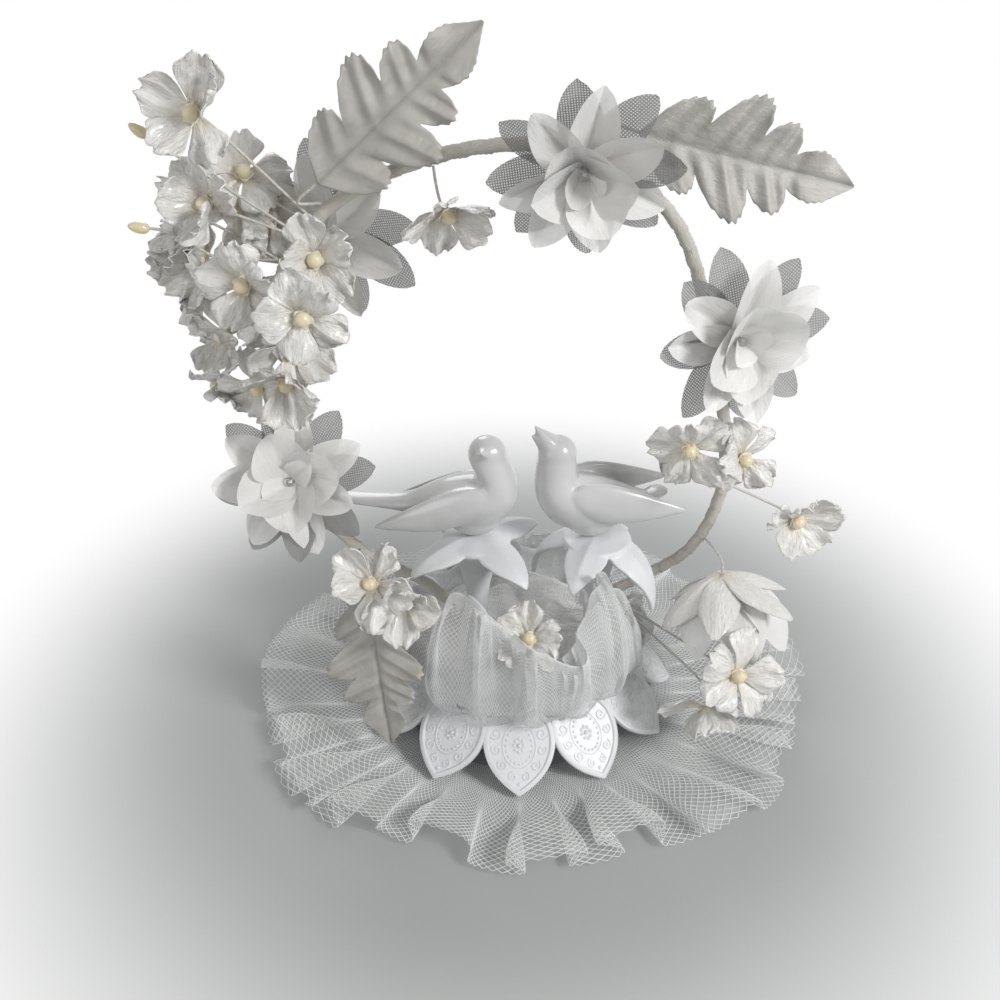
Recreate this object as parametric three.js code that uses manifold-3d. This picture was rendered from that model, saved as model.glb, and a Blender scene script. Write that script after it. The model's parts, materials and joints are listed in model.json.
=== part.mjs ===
// A wedding cake topper: two birds on lily perches inside a wreath of fabric flowers,
// on a moulded base with petal flaps and a ruffle of tulle. Millimetres, +Z up.
// The origin is the middle of the base's underside; -Y is the front, +X is to its right.
import * as THREE from "three";
import { mergeVertices } from "three/addons/utils/BufferGeometryUtils.js";
import Module from "manifold-3d";

// Clearance between two pieces that touch on the real object.
const GAP = 0.3;

// Moulded base: a dish for the foam, with a ring of petal flaps round its rim.
const BASE_FLOOR = 2;
const DISH_RADIUS = 38;
const DISH_WALL = 2;
const RIM_HEIGHT = 22;
const RIM_BEAD = 2.4;
const FLAP_COUNT = 12;
const FLAP_LENGTH = 29;
const FLAP_OVERLAP = 1.1;
const FLAP_NECK_SHARE = 0.6;
const FLAP_SHOULDER_SHARE = 0.36;
const FLAP_THICKNESS = 1.6;
const FLAP_SLOPE = THREE.MathUtils.degToRad(43);

// Foam block inside the dish. Everything that stands on the base is pushed into it.
const FOAM_TOP = 26;
const PEG_DEPTH = 10;

// Tulle: the skirt lies under the flaps, and the puff stands on the rim behind them.
const TULLE_THICKNESS = 0.7;
const SKIRT_RADIUS = 96;
const SKIRT_SIDE_REACH = 9;
const SKIRT_RIGHT_REACH = 5;
const SKIRT_LIFT = 8;
const SKIRT_RAGGED = 2.5;
const SKIRT_TUCK = 3;
const SKIRT_FOLDS = 13;
const PUFF_REACH = 12;
const PUFF_HEIGHT = 4;
const PUFF_FRONT_RISE = 25;
const PUFF_BACK_RISE = 12;
const PUFF_LEFT_RISE = 22;
const PUFF_LEFT_ANGLE = THREE.MathUtils.degToRad(-36);
const PUFF_LEFT_SPREAD = THREE.MathUtils.degToRad(17);
const PUFF_RIGHT_RISE = 33;
const PUFF_RIGHT_ANGLE = THREE.MathUtils.degToRad(50);
const PUFF_RIGHT_SPREAD = THREE.MathUtils.degToRad(14);
const PUFF_LEAN = 9;
const PUFF_FOLDS = 17;
const PUFF_FOLD_DEPTH = 2.2;

// Perches: lilies turned face down, each on a peg in the foam, with a bird on top.
const PERCH_HEIGHT = 46;
const PERCH_RADIUS = 28;
const PERCH_LEFT_DROPS = [6, 7, 7, 5];
const PERCH_RIGHT_DROPS = [20, 17, 8, 26];
const PERCH_THICKNESS = 1.6;
const PERCH_STALK = 3.4;
const PERCH_LEFT_X = -15;
const PERCH_RIGHT_X = 28;
const PERCH_LEFT_TURN = THREE.MathUtils.degToRad(35);
const PERCH_RIGHT_TURN = THREE.MathUtils.degToRad(66);

// Birds, each drawn in its own frame and then scaled to its height.
const BIRD_LEFT_HEIGHT = 38.9;
const BIRD_RIGHT_HEIGHT = 44.2;

// Wreath: a wire arch wound with floral tape, bare where its feet stand in the foam.
const WIRE_RADIUS = 0.9;
const TAPE_RADIUS = 2.2;
const ARCH_SIDES = 7;
const ARCH_STEPS = 36;
const FOOT_DEPTH = 14;
const FOOT_X = 24;
const FOOT_Y = 18;
const FOOT_LEAN = 1;
const WREATH_HEIGHT = 177;

// Fabric flowers on wire picks.
const PETAL_THICKNESS = 0.7;
const PICK_RADIUS = 0.6;
const PICK_SIDES = 4;
const PICK_STEPS = 7;
const PICK_STRAIGHT = 5;
const PICK_SLACK = 1;
const BLOSSOM_RADIUS = 14.5;
const BLOSSOM_DEPTH = 4;
const PEARL_RADIUS = 2.2;
const SHEER_RADIUS = 29;
const SHEER_DEPTH = 6;
const SHEER_INNER_RADIUS = 19;
const SHEER_INNER_DEPTH = 12;
const SHEER_STEP = 2.4;
const SEPAL_DROP = 13;
const BELL_RADIUS = 18;
const BELL_DROP = 24;
const DEW_RADIUS = 1.6;
const BUD_LENGTH = 6;
const BUD_RADIUS = 1.7;

// Satin leaves, each glued to a wire along its back.
const LEAF_LENGTH = 68;
const LOW_LEAF_LENGTH = 56;
const LEAF_HALF_WIDTH = 18;
const LEAF_LOBES = 4;
const LEAF_LOBE_POWER = 0.5;
const LEAF_NOTCH = 0.36;
const LEAF_LEAN = 0.45;
const LEAF_RIB = 0.6;
const LEAF_STALK = 9;
const LEAF_SAG = 4;
const LEAF_WIRE_SHARE = 0.8;

const satin = new THREE.MeshStandardMaterial({ color: 0xdedbd4, roughness: 0.45 });
const sheer = new THREE.MeshStandardMaterial({ color: 0xe6e5e1, roughness: 0.6 });
const tulle = new THREE.MeshStandardMaterial({ color: 0xeeeeec, roughness: 0.8 });
const plastic = new THREE.MeshStandardMaterial({ color: 0xf2f1ee, roughness: 0.3 });
const foam = new THREE.MeshStandardMaterial({ color: 0xf4f4f2, roughness: 0.95 });
const tape = new THREE.MeshStandardMaterial({ color: 0xd5d1c6, roughness: 0.75 });
const steel = new THREE.MeshStandardMaterial({ color: 0x9a9a98, roughness: 0.4, metalness: 1 });
const pearl = new THREE.MeshStandardMaterial({ color: 0xf0e2b4, roughness: 0.25 });
const clear = new THREE.MeshStandardMaterial({ color: 0xf4f6f6, roughness: 0.1 });

const wasm = await Module();
wasm.setup();

const topper = new THREE.Group();
topper.name = "cake_topper";

const v3 = (x, y, z) => new THREE.Vector3(x, y, z);
const { degToRad, lerp, smoothstep } = THREE.MathUtils;

// A closed geometry as a solid for a join or a cut.
function solid(geometry) {
  const bare = geometry.index ? geometry.toNonIndexed() : geometry.clone();
  bare.deleteAttribute("normal");
  bare.deleteAttribute("uv");
  const merged = mergeVertices(bare, 1e-4);
  return new wasm.Manifold(
    new wasm.Mesh({
      numProp: 3,
      vertProperties: merged.attributes.position.array,
      triVerts: new Uint32Array(merged.index.array),
    }),
  );
}

function geometryOf(body) {
  const made = body.getMesh();
  const geometry = new THREE.BufferGeometry();
  geometry.setAttribute("position", new THREE.BufferAttribute(made.vertProperties, 3));
  geometry.setIndex(new THREE.BufferAttribute(made.triVerts, 1));
  return geometry;
}

function addMesh(parent, name, geometry, material) {
  geometry.computeVertexNormals();
  const mesh = new THREE.Mesh(geometry, material);
  mesh.name = name;
  parent.add(mesh);
  return mesh;
}

// A thin closed body over a grid. place(i, j, side) gives a vertex: i runs round or across,
// j runs outwards, and side is 1 on the upper face and -1 on the lower one.
function sheetBody(columns, rows, wraps, place) {
  const points = [];
  const faces = [];
  for (const side of [1, -1]) {
    for (let j = 0; j < rows; j++) {
      for (let i = 0; i < columns; i++) points.push(place(i, j, side));
    }
  }
  const at = (i, j, side) => ((side > 0 ? 0 : rows) + j) * columns + (i % columns);
  const quad = (a, b, c, d) => faces.push(a, b, c, a, c, d);
  const spans = wraps ? columns : columns - 1;
  const last = rows - 1;
  for (let i = 0; i < spans; i++) {
    for (let j = 0; j < last; j++) {
      quad(at(i, j, 1), at(i, j + 1, 1), at(i + 1, j + 1, 1), at(i + 1, j, 1));
      quad(at(i, j, -1), at(i + 1, j, -1), at(i + 1, j + 1, -1), at(i, j + 1, -1));
    }
    quad(at(i, last, 1), at(i, last, -1), at(i + 1, last, -1), at(i + 1, last, 1));
    quad(at(i, 0, 1), at(i + 1, 0, 1), at(i + 1, 0, -1), at(i, 0, -1));
  }
  if (!wraps) {
    for (let j = 0; j < last; j++) {
      quad(at(0, j, 1), at(0, j, -1), at(0, j + 1, -1), at(0, j + 1, 1));
      quad(at(spans, j, 1), at(spans, j + 1, 1), at(spans, j + 1, -1), at(spans, j, -1));
    }
  }
  const geometry = new THREE.BufferGeometry().setFromPoints(points);
  geometry.setIndex(faces);
  return geometry;
}

// A round bar along a curve, closed at both ends.
function barBody(curve, radius, sides, steps) {
  const section = new THREE.Shape();
  for (let k = 0; k < sides; k++) {
    const turn = (2 * Math.PI * k) / sides;
    if (k === 0) section.moveTo(radius, 0);
    else section.lineTo(radius * Math.cos(turn), radius * Math.sin(turn));
  }
  return new THREE.ExtrudeGeometry(section, { steps, extrudePath: curve, bevelEnabled: false });
}

// A body through a row of rings; each ring is a centre, two half-axes and their lengths.
function loftBody(rings, sides) {
  const points = [];
  const faces = [];
  for (const ring of rings) {
    for (let k = 0; k < sides; k++) {
      const turn = (2 * Math.PI * k) / sides;
      const point = ring.centre.clone();
      point.addScaledVector(ring.across, ring.wide * Math.cos(turn));
      point.addScaledVector(ring.up, ring.high * Math.sin(turn));
      points.push(point);
    }
  }
  const first = points.push(rings[0].centre.clone()) - 1;
  const end = points.push(rings[rings.length - 1].centre.clone()) - 1;
  for (let k = 0; k < sides; k++) {
    const next = (k + 1) % sides;
    faces.push(first, next, k);
    for (let j = 0; j < rings.length - 1; j++) {
      const a = j * sides;
      const b = a + sides;
      faces.push(a + k, a + next, b + next, a + k, b + next, b + k);
    }
    const tail = (rings.length - 1) * sides;
    faces.push(end, tail + k, tail + next);
  }
  const geometry = new THREE.BufferGeometry().setFromPoints(points);
  geometry.setIndex(faces);
  return geometry;
}

// A die-cut ring of petals with a hole for its stem, cupped along +Z.
function whorlBody(spec) {
  const { petals, radius, hole, thickness, notch = 0.42, point = 2, curve = 1.6 } = spec;
  const { perPetal = 4, rows = 3, uneven = 0 } = spec;
  const depthOf = (petal) =>
    spec.depths ? spec.depths[petal] : spec.depth * (1 + uneven * Math.sin(2.4 * petal + 0.8));
  const columns = petals * perPetal;
  return sheetBody(columns, rows, true, (i, j, side) => {
    const turn = (2 * Math.PI * i) / columns;
    const petal = Math.round(i / perPetal) % petals;
    const fromTip = 2 * Math.abs(i / perPetal - Math.round(i / perPetal));
    const reach = notch + (1 - notch) * (1 - Math.pow(fromTip, point));
    const share = j / (rows - 1);
    const r = lerp(hole, radius * reach, share);
    const z = depthOf(petal) * Math.pow(r / radius, curve);
    return v3(r * Math.cos(turn), r * Math.sin(turn), z + (side * thickness) / 2);
  });
}

// A solid of revolution round +Z from a profile of [radius, height] that starts and ends on it.
function turnedBody(profile, segments) {
  const points = profile.map(([r, z]) => new THREE.Vector2(r, z));
  return new THREE.LatheGeometry(points, segments).rotateX(Math.PI / 2);
}

// Base
const dishInside = DISH_RADIUS - DISH_WALL;
const rimTop = RIM_HEIGHT + RIM_BEAD;
const foamRadius = dishInside - GAP;

// A flap is as wide as its share of the ring at its shoulders, so that neighbours just meet.
const shoulder = FLAP_LENGTH * FLAP_SHOULDER_SHARE;
const shoulderRing = 2 * Math.PI * (DISH_RADIUS + shoulder * Math.cos(FLAP_SLOPE));
const flapWidth = shoulderRing / FLAP_COUNT + FLAP_OVERLAP;

function flapSolid(turn) {
  const half = flapWidth / 2;
  const neck = half * FLAP_NECK_SHARE;
  const outline = new THREE.Shape();
  outline.moveTo(-neck, 0);
  outline.lineTo(neck, 0);
  outline.quadraticCurveTo(half, shoulder * 0.35, half, shoulder);
  outline.quadraticCurveTo(half, FLAP_LENGTH * 0.74, 0, FLAP_LENGTH);
  outline.quadraticCurveTo(-half, FLAP_LENGTH * 0.74, -half, shoulder);
  outline.quadraticCurveTo(-half, shoulder * 0.35, -neck, 0);
  const plate = new THREE.ExtrudeGeometry(outline, {
    depth: FLAP_THICKNESS,
    bevelEnabled: false,
    curveSegments: 3,
  });
  const out = v3(Math.cos(turn), Math.sin(turn), 0);
  const sideways = v3(Math.sin(turn), -Math.cos(turn), 0);
  const down = out.clone().multiplyScalar(Math.cos(FLAP_SLOPE)).setZ(-Math.sin(FLAP_SLOPE));
  const face = sideways.clone().cross(down);
  const place = new THREE.Matrix4().makeBasis(sideways, down, face);
  place.setPosition(out.clone().multiplyScalar(DISH_RADIUS).setZ(RIM_HEIGHT));
  return solid(plate.applyMatrix4(place));
}

const dishProfile = [
  [0, 0],
  [DISH_RADIUS, 0],
  [DISH_RADIUS, RIM_HEIGHT - RIM_BEAD],
  [DISH_RADIUS + RIM_BEAD, RIM_HEIGHT],
  [DISH_RADIUS + RIM_BEAD / 2, rimTop],
  [dishInside, rimTop],
  [dishInside, BASE_FLOOR],
  [0, BASE_FLOOR],
];
let base = solid(turnedBody(dishProfile, FLAP_COUNT * 2));
for (let k = 0; k < FLAP_COUNT; k++) {
  base = base.add(flapSolid((2 * Math.PI * k) / FLAP_COUNT));
}
addMesh(topper, "base_dish", geometryOf(base), plastic);

// Arch
// The wreath is drawn on a grid, whose pitch makes its highest stop stand as high as the wreath
// does above the foam. The flowers' places are in the same pitch.
const archGrid = [
  [-3.4, 1.3, 1.3],
  [-5.7, 0.7, 3.3],
  [-7.5, 0.4, 6],
  [-8.3, 0.4, 9.5],
  [-7.9, 0.4, 12.9],
  [-6.1, 0.4, 15.8],
  [-2.4, 0.4, 17.6],
  [1.6, 0.4, 17.7],
  [4.5, 0.4, 15.8],
  [6, 0.4, 12.4],
  [6.9, 0.4, 8.8],
  [7.1, 0.4, 6],
  [6.3, 0.7, 3.4],
  [4.5, 1.2, 1.6],
];
const wreathPitch = WREATH_HEIGHT / Math.max(...archGrid.map((stop) => stop[2]));
const archRoute = [
  v3(-FOOT_X, FOOT_Y, -FOOT_DEPTH),
  v3(-FOOT_X - FOOT_LEAN, FOOT_Y - FOOT_LEAN, -2 * FOOT_LEAN),
  ...archGrid.map((stop) => v3(...stop).multiplyScalar(wreathPitch)),
  v3(FOOT_X + FOOT_LEAN, FOOT_Y - FOOT_LEAN, -2 * FOOT_LEAN),
  v3(FOOT_X, FOOT_Y, -FOOT_DEPTH),
].map((stop) => stop.setZ(FOAM_TOP + stop.z));
const arch = new THREE.CatmullRomCurve3(archRoute, false, "centripetal");
const archLength = arch.getLength();
const archPoint = (share) => arch.getPointAt(share);

// The part of the arch between two shares of its length.
class ArchStretch extends THREE.Curve {
  constructor(from, to) {
    super();
    this.from = from;
    this.to = to;
  }
  getPoint(share) {
    return arch.getPointAt(lerp(this.from, this.to, share));
  }
}

// The room that a bar needs in the piece it is pushed into, past both of its ends too.
function boreSolid(route, radius, sides, steps) {
  let bore = solid(barBody(route, radius + GAP, sides, steps));
  for (const share of [0, 1]) {
    const end = new THREE.SphereGeometry(radius + GAP, sides, 4);
    bore = bore.add(solid(end.translate(...route.getPoint(share))));
  }
  return bore;
}
const bareShare = (FOOT_DEPTH + TAPE_RADIUS + FOOT_LEAN) / archLength;
const archBore = boreSolid(arch, WIRE_RADIUS, ARCH_SIDES, ARCH_STEPS);
const foamCuts = [archBore];
const sleeve = new ArchStretch(bareShare, 1 - bareShare);
const tapeSolid = solid(barBody(sleeve, TAPE_RADIUS, ARCH_SIDES, ARCH_STEPS)).subtract(archBore);
addMesh(topper, "arch_wire", barBody(arch, WIRE_RADIUS, ARCH_SIDES, ARCH_STEPS), steel);
addMesh(topper, "arch_tape", geometryOf(tapeSolid), tape);

// Perches and the sockets they need
const perchTop = FOAM_TOP + PERCH_HEIGHT;
const perches = [
  { name: "perch_left", x: PERCH_LEFT_X, turn: PERCH_LEFT_TURN, drops: PERCH_LEFT_DROPS },
  { name: "perch_right", x: PERCH_RIGHT_X, turn: PERCH_RIGHT_TURN, drops: PERCH_RIGHT_DROPS },
];
const pegBottom = FOAM_TOP - PEG_DEPTH;
const stalkTop = perchTop - PERCH_THICKNESS;

// The tapered peg below the foam's top, and with a clearance the socket that it needs.
function pegProfile(clearance) {
  return [
    [0, pegBottom - clearance],
    [PERCH_STALK * 0.7 + clearance, pegBottom - clearance],
    [PERCH_STALK + clearance, FOAM_TOP],
  ];
}

function perchBody(drops) {
  const lily = whorlBody({
    petals: drops.length,
    radius: PERCH_RADIUS,
    depths: drops,
    hole: PERCH_STALK / 2,
    thickness: PERCH_THICKNESS,
    notch: 0.5,
    point: 1.3,
    curve: 2.2,
    perPetal: 6,
    rows: 5,
  });
  const stalk = turnedBody(
    [
      ...pegProfile(0),
      [PERCH_STALK, stalkTop],
      [PERCH_STALK * 1.6, stalkTop + PERCH_THICKNESS / 4],
      [PERCH_STALK * 1.6, perchTop],
      [0, perchTop],
    ],
    10,
  );
  const hung = lily.rotateX(Math.PI).translate(0, 0, stalkTop + PERCH_THICKNESS / 2);
  return solid(hung).add(solid(stalk));
}
for (const perch of perches) {
  const mesh = addMesh(topper, perch.name, geometryOf(perchBody(perch.drops)), plastic);
  mesh.position.x = perch.x;
  mesh.rotation.z = perch.turn;
  const mouth = [PERCH_STALK + GAP, FOAM_TOP + PEG_DEPTH];
  const socket = turnedBody([...pegProfile(GAP), mouth, [0, mouth[1]]], 10);
  foamCuts.push(solid(socket.rotateZ(perch.turn).translate(perch.x, 0, 0)));
}

// Birds. Each is lofted in its own frame: +X is where the breast points, +Z is up.
const ACROSS = v3(0, 1, 0);
const BEAK_LENGTH = 10;
function birdRing(x, z, wide, high, lean) {
  const up = v3(-Math.sin(degToRad(lean)), 0, Math.cos(degToRad(lean)));
  return { centre: v3(x, 0, z), across: ACROSS, up, wide, high };
}

// The trunk from the tail's tip up to the head, then the beak, the wings and a foot.
function birdBody(spec) {
  const { tail, tailRise, lead, head, headTurn, beakRise, wingSpread } = spec;
  const breast = { x: 9 + lead, z: 20 };
  const neck = { x: lerp(breast.x, head.x, 0.5), z: lerp(breast.z, head.z, 0.5) };
  const trunk = loftBody(
    [
      birdRing(-tail, 10 + tailRise, 3.4, 0.9, 0),
      birdRing(lead - 25, 10 + tailRise / 3, 3.6, 2.2, 6),
      birdRing(lead - 17, 10.4, 5.8, 5.4, 12),
      birdRing(lead - 6, 11.5, 9, 9.6, 18),
      birdRing(lead + 4, 14.2, 9.6, 10, 30),
      birdRing(breast.x, breast.z, 8.2, 8, 62),
      birdRing(neck.x, neck.z, 6.7, 6.7, 86),
      birdRing(head.x, head.z - 1, 6.2, 6.2, 94),
    ],
    10,
  );
  const headCentre = v3(head.x, 0, head.z);
  const skull = new THREE.SphereGeometry(6.4, 10, 8).translate(...headCentre);
  const nod = new THREE.Matrix4().makeRotationY(-beakRise);
  const face = new THREE.Matrix4().makeRotationZ(headTurn).multiply(nod);
  const beak = new THREE.ConeGeometry(3.2, BEAK_LENGTH, 8).rotateZ(-Math.PI / 2);
  beak.translate(spec.beakTip - BEAK_LENGTH / 2, 0, 0);
  beak.applyMatrix4(face).translate(...headCentre);
  const foot = turnedBody([[0, 0], [5, 0], [4, 6], [0, 6]], 10).translate(1, 0, 0);
  let body = solid(trunk).add(solid(skull)).add(solid(beak)).add(solid(foot));
  for (const side of [-1, 1]) {
    const along = v3(-Math.cos(wingSpread), side * Math.sin(wingSpread), spec.wingLift).normalize();
    const up = v3(0.2, side * -0.2, 1).normalize();
    const thick = up.clone().cross(along).normalize();
    const root = v3(lead + 5, side * 8, spec.wingRoot);
    const stations = [
      [0, 1.2, 2],
      [0.2, 2.4, 7],
      [0.5, 2, 6.4],
      [0.8, 1.2, 3.4],
      [1, 0.5, 0.8],
    ];
    const rings = stations.map(([share, wide, high]) => ({
      centre: root.clone().addScaledVector(along, spec.wing * share),
      across: thick,
      up,
      wide,
      high,
    }));
    body = body.add(solid(loftBody(rings, 8)));
  }
  const drawn = body.boundingBox();
  return body.scale(spec.height / (drawn.max[2] - drawn.min[2]));
}
const birds = [
  {
    name: "bird_left",
    perch: perches[0],
    height: BIRD_LEFT_HEIGHT,
    heading: degToRad(-8),
    lead: 0,
    head: { x: 4, z: 32.5 },
    tail: 51,
    tailRise: 1,
    wing: 44,
    wingSpread: degToRad(2),
    wingLift: -0.2,
    wingRoot: 17,
    headTurn: degToRad(-95),
    beakRise: degToRad(28),
    beakTip: 10,
  },
  {
    name: "bird_right",
    perch: perches[1],
    height: BIRD_RIGHT_HEIGHT,
    heading: degToRad(188),
    lead: 7,
    head: { x: 15.5, z: 33.5 },
    tail: 25,
    tailRise: 6,
    wing: 41,
    wingSpread: degToRad(6),
    wingLift: -0.12,
    wingRoot: 19,
    headTurn: degToRad(0),
    beakRise: degToRad(50),
    beakTip: 14,
  },
];
for (const bird of birds) {
  const mesh = addMesh(topper, bird.name, geometryOf(birdBody(bird)), plastic);
  mesh.position.set(bird.perch.x, 0, perchTop + GAP);
  mesh.rotation.z = bird.heading;
}

// Tulle skirt: flat under the flaps, then rising and falling in folds out to its cut edge.
const flapReach = DISH_RADIUS + FLAP_LENGTH * Math.cos(FLAP_SLOPE);
const SKIRT_PER_FOLD = 5;
const SKIRT_ROWS = 5;
const skirtColumns = SKIRT_FOLDS * SKIRT_PER_FOLD;
const skirtInner = DISH_RADIUS + GAP;
const skirt = sheetBody(skirtColumns, SKIRT_ROWS, true, (i, j, side) => {
  const turn = (2 * Math.PI * i) / skirtColumns;
  const wander = 0.35 * Math.sin(3 * turn + 1) + 0.2 * Math.sin(5 * turn);
  const wave = 0.5 - 0.5 * Math.cos(SKIRT_FOLDS * turn + 6 * wander);
  const reach = SKIRT_SIDE_REACH * Math.cos(2 * turn) + SKIRT_RIGHT_REACH * Math.cos(turn);
  const edge = SKIRT_RADIUS + reach + SKIRT_RAGGED * Math.sin(7 * turn);
  const share = j === 0 ? 0 : (j - 1) / (SKIRT_ROWS - 2);
  const r = j === 0 ? skirtInner : lerp(flapReach, edge - SKIRT_TUCK * wave, share);
  const lift = SKIRT_LIFT * smoothstep(share, 0, 1) * wave;
  return v3(r * Math.cos(turn), r * Math.sin(turn), GAP + lift + (side > 0 ? TULLE_THICKNESS : 0));
});
addMesh(topper, "tulle_skirt", skirt, tulle);

// Tulle puff: gathered round the foam on the rim. Two crests of it stand up beside the blossom at
// the front, and lean in towards the perches.
const PUFF_PER_FOLD = 3;
const PUFF_ROWS = 4;
const puffColumns = PUFF_FOLDS * PUFF_PER_FOLD;
const puffFoot = rimTop + GAP;
const puff = sheetBody(puffColumns, PUFF_ROWS, true, (i, j, side) => {
  const turn = (2 * Math.PI * i) / puffColumns;
  const fromFront = Math.atan2(Math.cos(turn), -Math.sin(turn));
  const facing = Math.cos(fromFront);
  const crest = (angle, spread) => Math.exp(-(((fromFront - angle) / spread) ** 2));
  const left = crest(PUFF_LEFT_ANGLE, PUFF_LEFT_SPREAD);
  const right = crest(PUFF_RIGHT_ANGLE, PUFF_RIGHT_SPREAD);
  const front = PUFF_FRONT_RISE * Math.max(0, facing) ** 2;
  const back = PUFF_BACK_RISE * Math.max(0, -facing) ** 2;
  const rise = PUFF_HEIGHT + front + back + PUFF_LEFT_RISE * left + PUFF_RIGHT_RISE * right;
  const share = j / (PUFF_ROWS - 1);
  const fold = PUFF_FOLD_DEPTH * share * Math.cos(PUFF_FOLDS * turn);
  const belly = PUFF_REACH * Math.sin(share * Math.PI * 0.62);
  const lean = PUFF_LEAN * (left + right) * share ** 2;
  const r = DISH_RADIUS + belly + fold - lean - (side * TULLE_THICKNESS) / 2;
  const tilt = j === 0 ? 0 : (side * TULLE_THICKNESS) / 3;
  const z = puffFoot + rise * share ** 1.3 + tilt;
  return v3(r * Math.cos(turn), r * Math.sin(turn), z);
});
addMesh(topper, "tulle_puff", puff, tulle);

// A pick's wire runs straight back from its head through the flower, then bends to its anchor.
function pickRoute(head, flower) {
  const back = flower.hub.clone().addScaledVector(flower.face, -PICK_STRAIGHT);
  const middle = back.clone().lerp(flower.anchor, 0.5).addScaledVector(flower.face, -PICK_SLACK);
  const stops = [head.clone(), flower.hub.clone(), back, middle, flower.anchor];
  return new THREE.CatmullRomCurve3(stops, false, "centripetal");
}

// Where a pick that leaves the arch towards a point meets the tape.
function archAnchor(share, towards) {
  const centre = archPoint(share);
  const tangent = arch.getTangentAt(share);
  const out = towards.clone().sub(centre);
  out.addScaledVector(tangent, -out.dot(tangent)).normalize();
  return centre.addScaledVector(out, TAPE_RADIUS + GAP);
}

const FORWARD = v3(0, 0, 1);
const holeRadius = PICK_RADIUS + GAP;

// A flower or bud: its head's place is an offset, in the wreath's pitch, from a point on the arch or
// from a spot on the foam's top, which is given in shares of the foam's radius. The face is
// the way it looks, and roll turns it round that.
function flowerGroup(spec) {
  const face = v3(...spec.face).normalize();
  const inFoam = (spot) => v3(...spot, 0).multiplyScalar(foamRadius).setZ(FOAM_TOP);
  const origin = spec.foam ? inFoam(spec.foam) : archPoint(spec.at);
  const hub = origin.clone().addScaledVector(v3(...spec.out), wreathPitch);
  const group = new THREE.Group();
  group.position.copy(hub);
  group.quaternion.setFromUnitVectors(FORWARD, face);
  group.rotateZ(degToRad(spec.roll ?? 0));
  topper.add(group);
  const behind = hub.clone().addScaledVector(face, -PICK_STRAIGHT);
  const anchor = spec.foam ? origin.clone().setZ(pegBottom) : archAnchor(spec.at, behind);
  return { face, hub, group, anchor };
}

function addPick(name, headGeometry, head, flower, material) {
  const route = pickRoute(head, flower);
  const wire = solid(barBody(route, PICK_RADIUS, PICK_SIDES, PICK_STEPS));
  const pick = solid(headGeometry.translate(...head)).add(wire);
  addMesh(topper, name, geometryOf(pick), material);
  return route;
}

// Small satin blossoms with a pearl at the centre.
const blossoms = [
  { name: "spray_top", at: 0.385, out: [-2.7, -1.4, 3.3], face: [-0.15, -0.9, 0.35] },
  { name: "spray_upper", at: 0.38, out: [-2, 0.9, 1.3], face: [0.25, -0.8, 0.55], roll: 20 },
  { name: "spray_outer", at: 0.352, out: [-2.8, 0.1, 1.4], face: [-0.75, -0.55, 0.3], roll: 40 },
  { name: "spray_middle", at: 0.345, out: [-0.4, -2.8, 0.7], face: [-0.25, -0.95, 0.15], roll: 10 },
  { name: "spray_inner", at: 0.37, out: [0.7, -1.8, 0], face: [0.2, -0.95, 0.2], roll: 33 },
  { name: "spray_front", at: 0.33, out: [1.6, -3.7, 0.8], face: [0.15, -0.95, 0.1], roll: 50 },
  { name: "spray_lower", at: 0.294, out: [1, -2.1, -0.1], face: [0.1, -0.9, -0.3], roll: 15 },
  { name: "spray_edge", at: 0.315, out: [-2, 0.1, 0.6], face: [-0.85, -0.45, 0.1], roll: 25 },
  { name: "arch_single", at: 0.464, out: [0.4, -0.5, -1.4], face: [0.35, -0.8, -0.4], roll: 5 },
  { name: "right_pair", at: 0.758, out: [-1.4, -1.8, -0.2], face: [-0.2, -0.95, 0.1], roll: 20 },
  { name: "right_loose", at: 0.81, out: [2.4, -1, -0.8], face: [0.2, -0.95, 0.1], roll: 30 },
  { name: "right_low", at: 0.945, out: [3.8, -5.2, 0.4], face: [0.15, -0.85, 0.45], roll: 12 },
  { name: "left_low", at: 0.11, out: [0.5, -4, 1.8], face: [-0.2, -0.8, 0.5], roll: 44 },
  { name: "front_centre", foam: [0.08, -0.67], out: [0, -1, 2.5], face: [0, -0.7, 0.7], roll: 8 },
];
for (const spec of blossoms) {
  const flower = flowerGroup(spec);
  const petals = whorlBody({
    petals: 5,
    radius: BLOSSOM_RADIUS,
    depth: BLOSSOM_DEPTH,
    hole: holeRadius,
    thickness: PETAL_THICKNESS,
    notch: 0.46,
    uneven: 0.35,
  });
  addMesh(flower.group, "blossom_" + spec.name, petals, satin);
  const clearOfPetals = PEARL_RADIUS + PETAL_THICKNESS + GAP;
  const head = flower.hub.clone().addScaledVector(flower.face, clearOfPetals);
  const ball = new THREE.SphereGeometry(PEARL_RADIUS, 6, 4);
  const route = addPick("pearl_" + spec.name, ball, head, flower, pearl);
  if (spec.foam) foamCuts.push(boreSolid(route, PICK_RADIUS, PICK_SIDES, PICK_STEPS));
}

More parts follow.
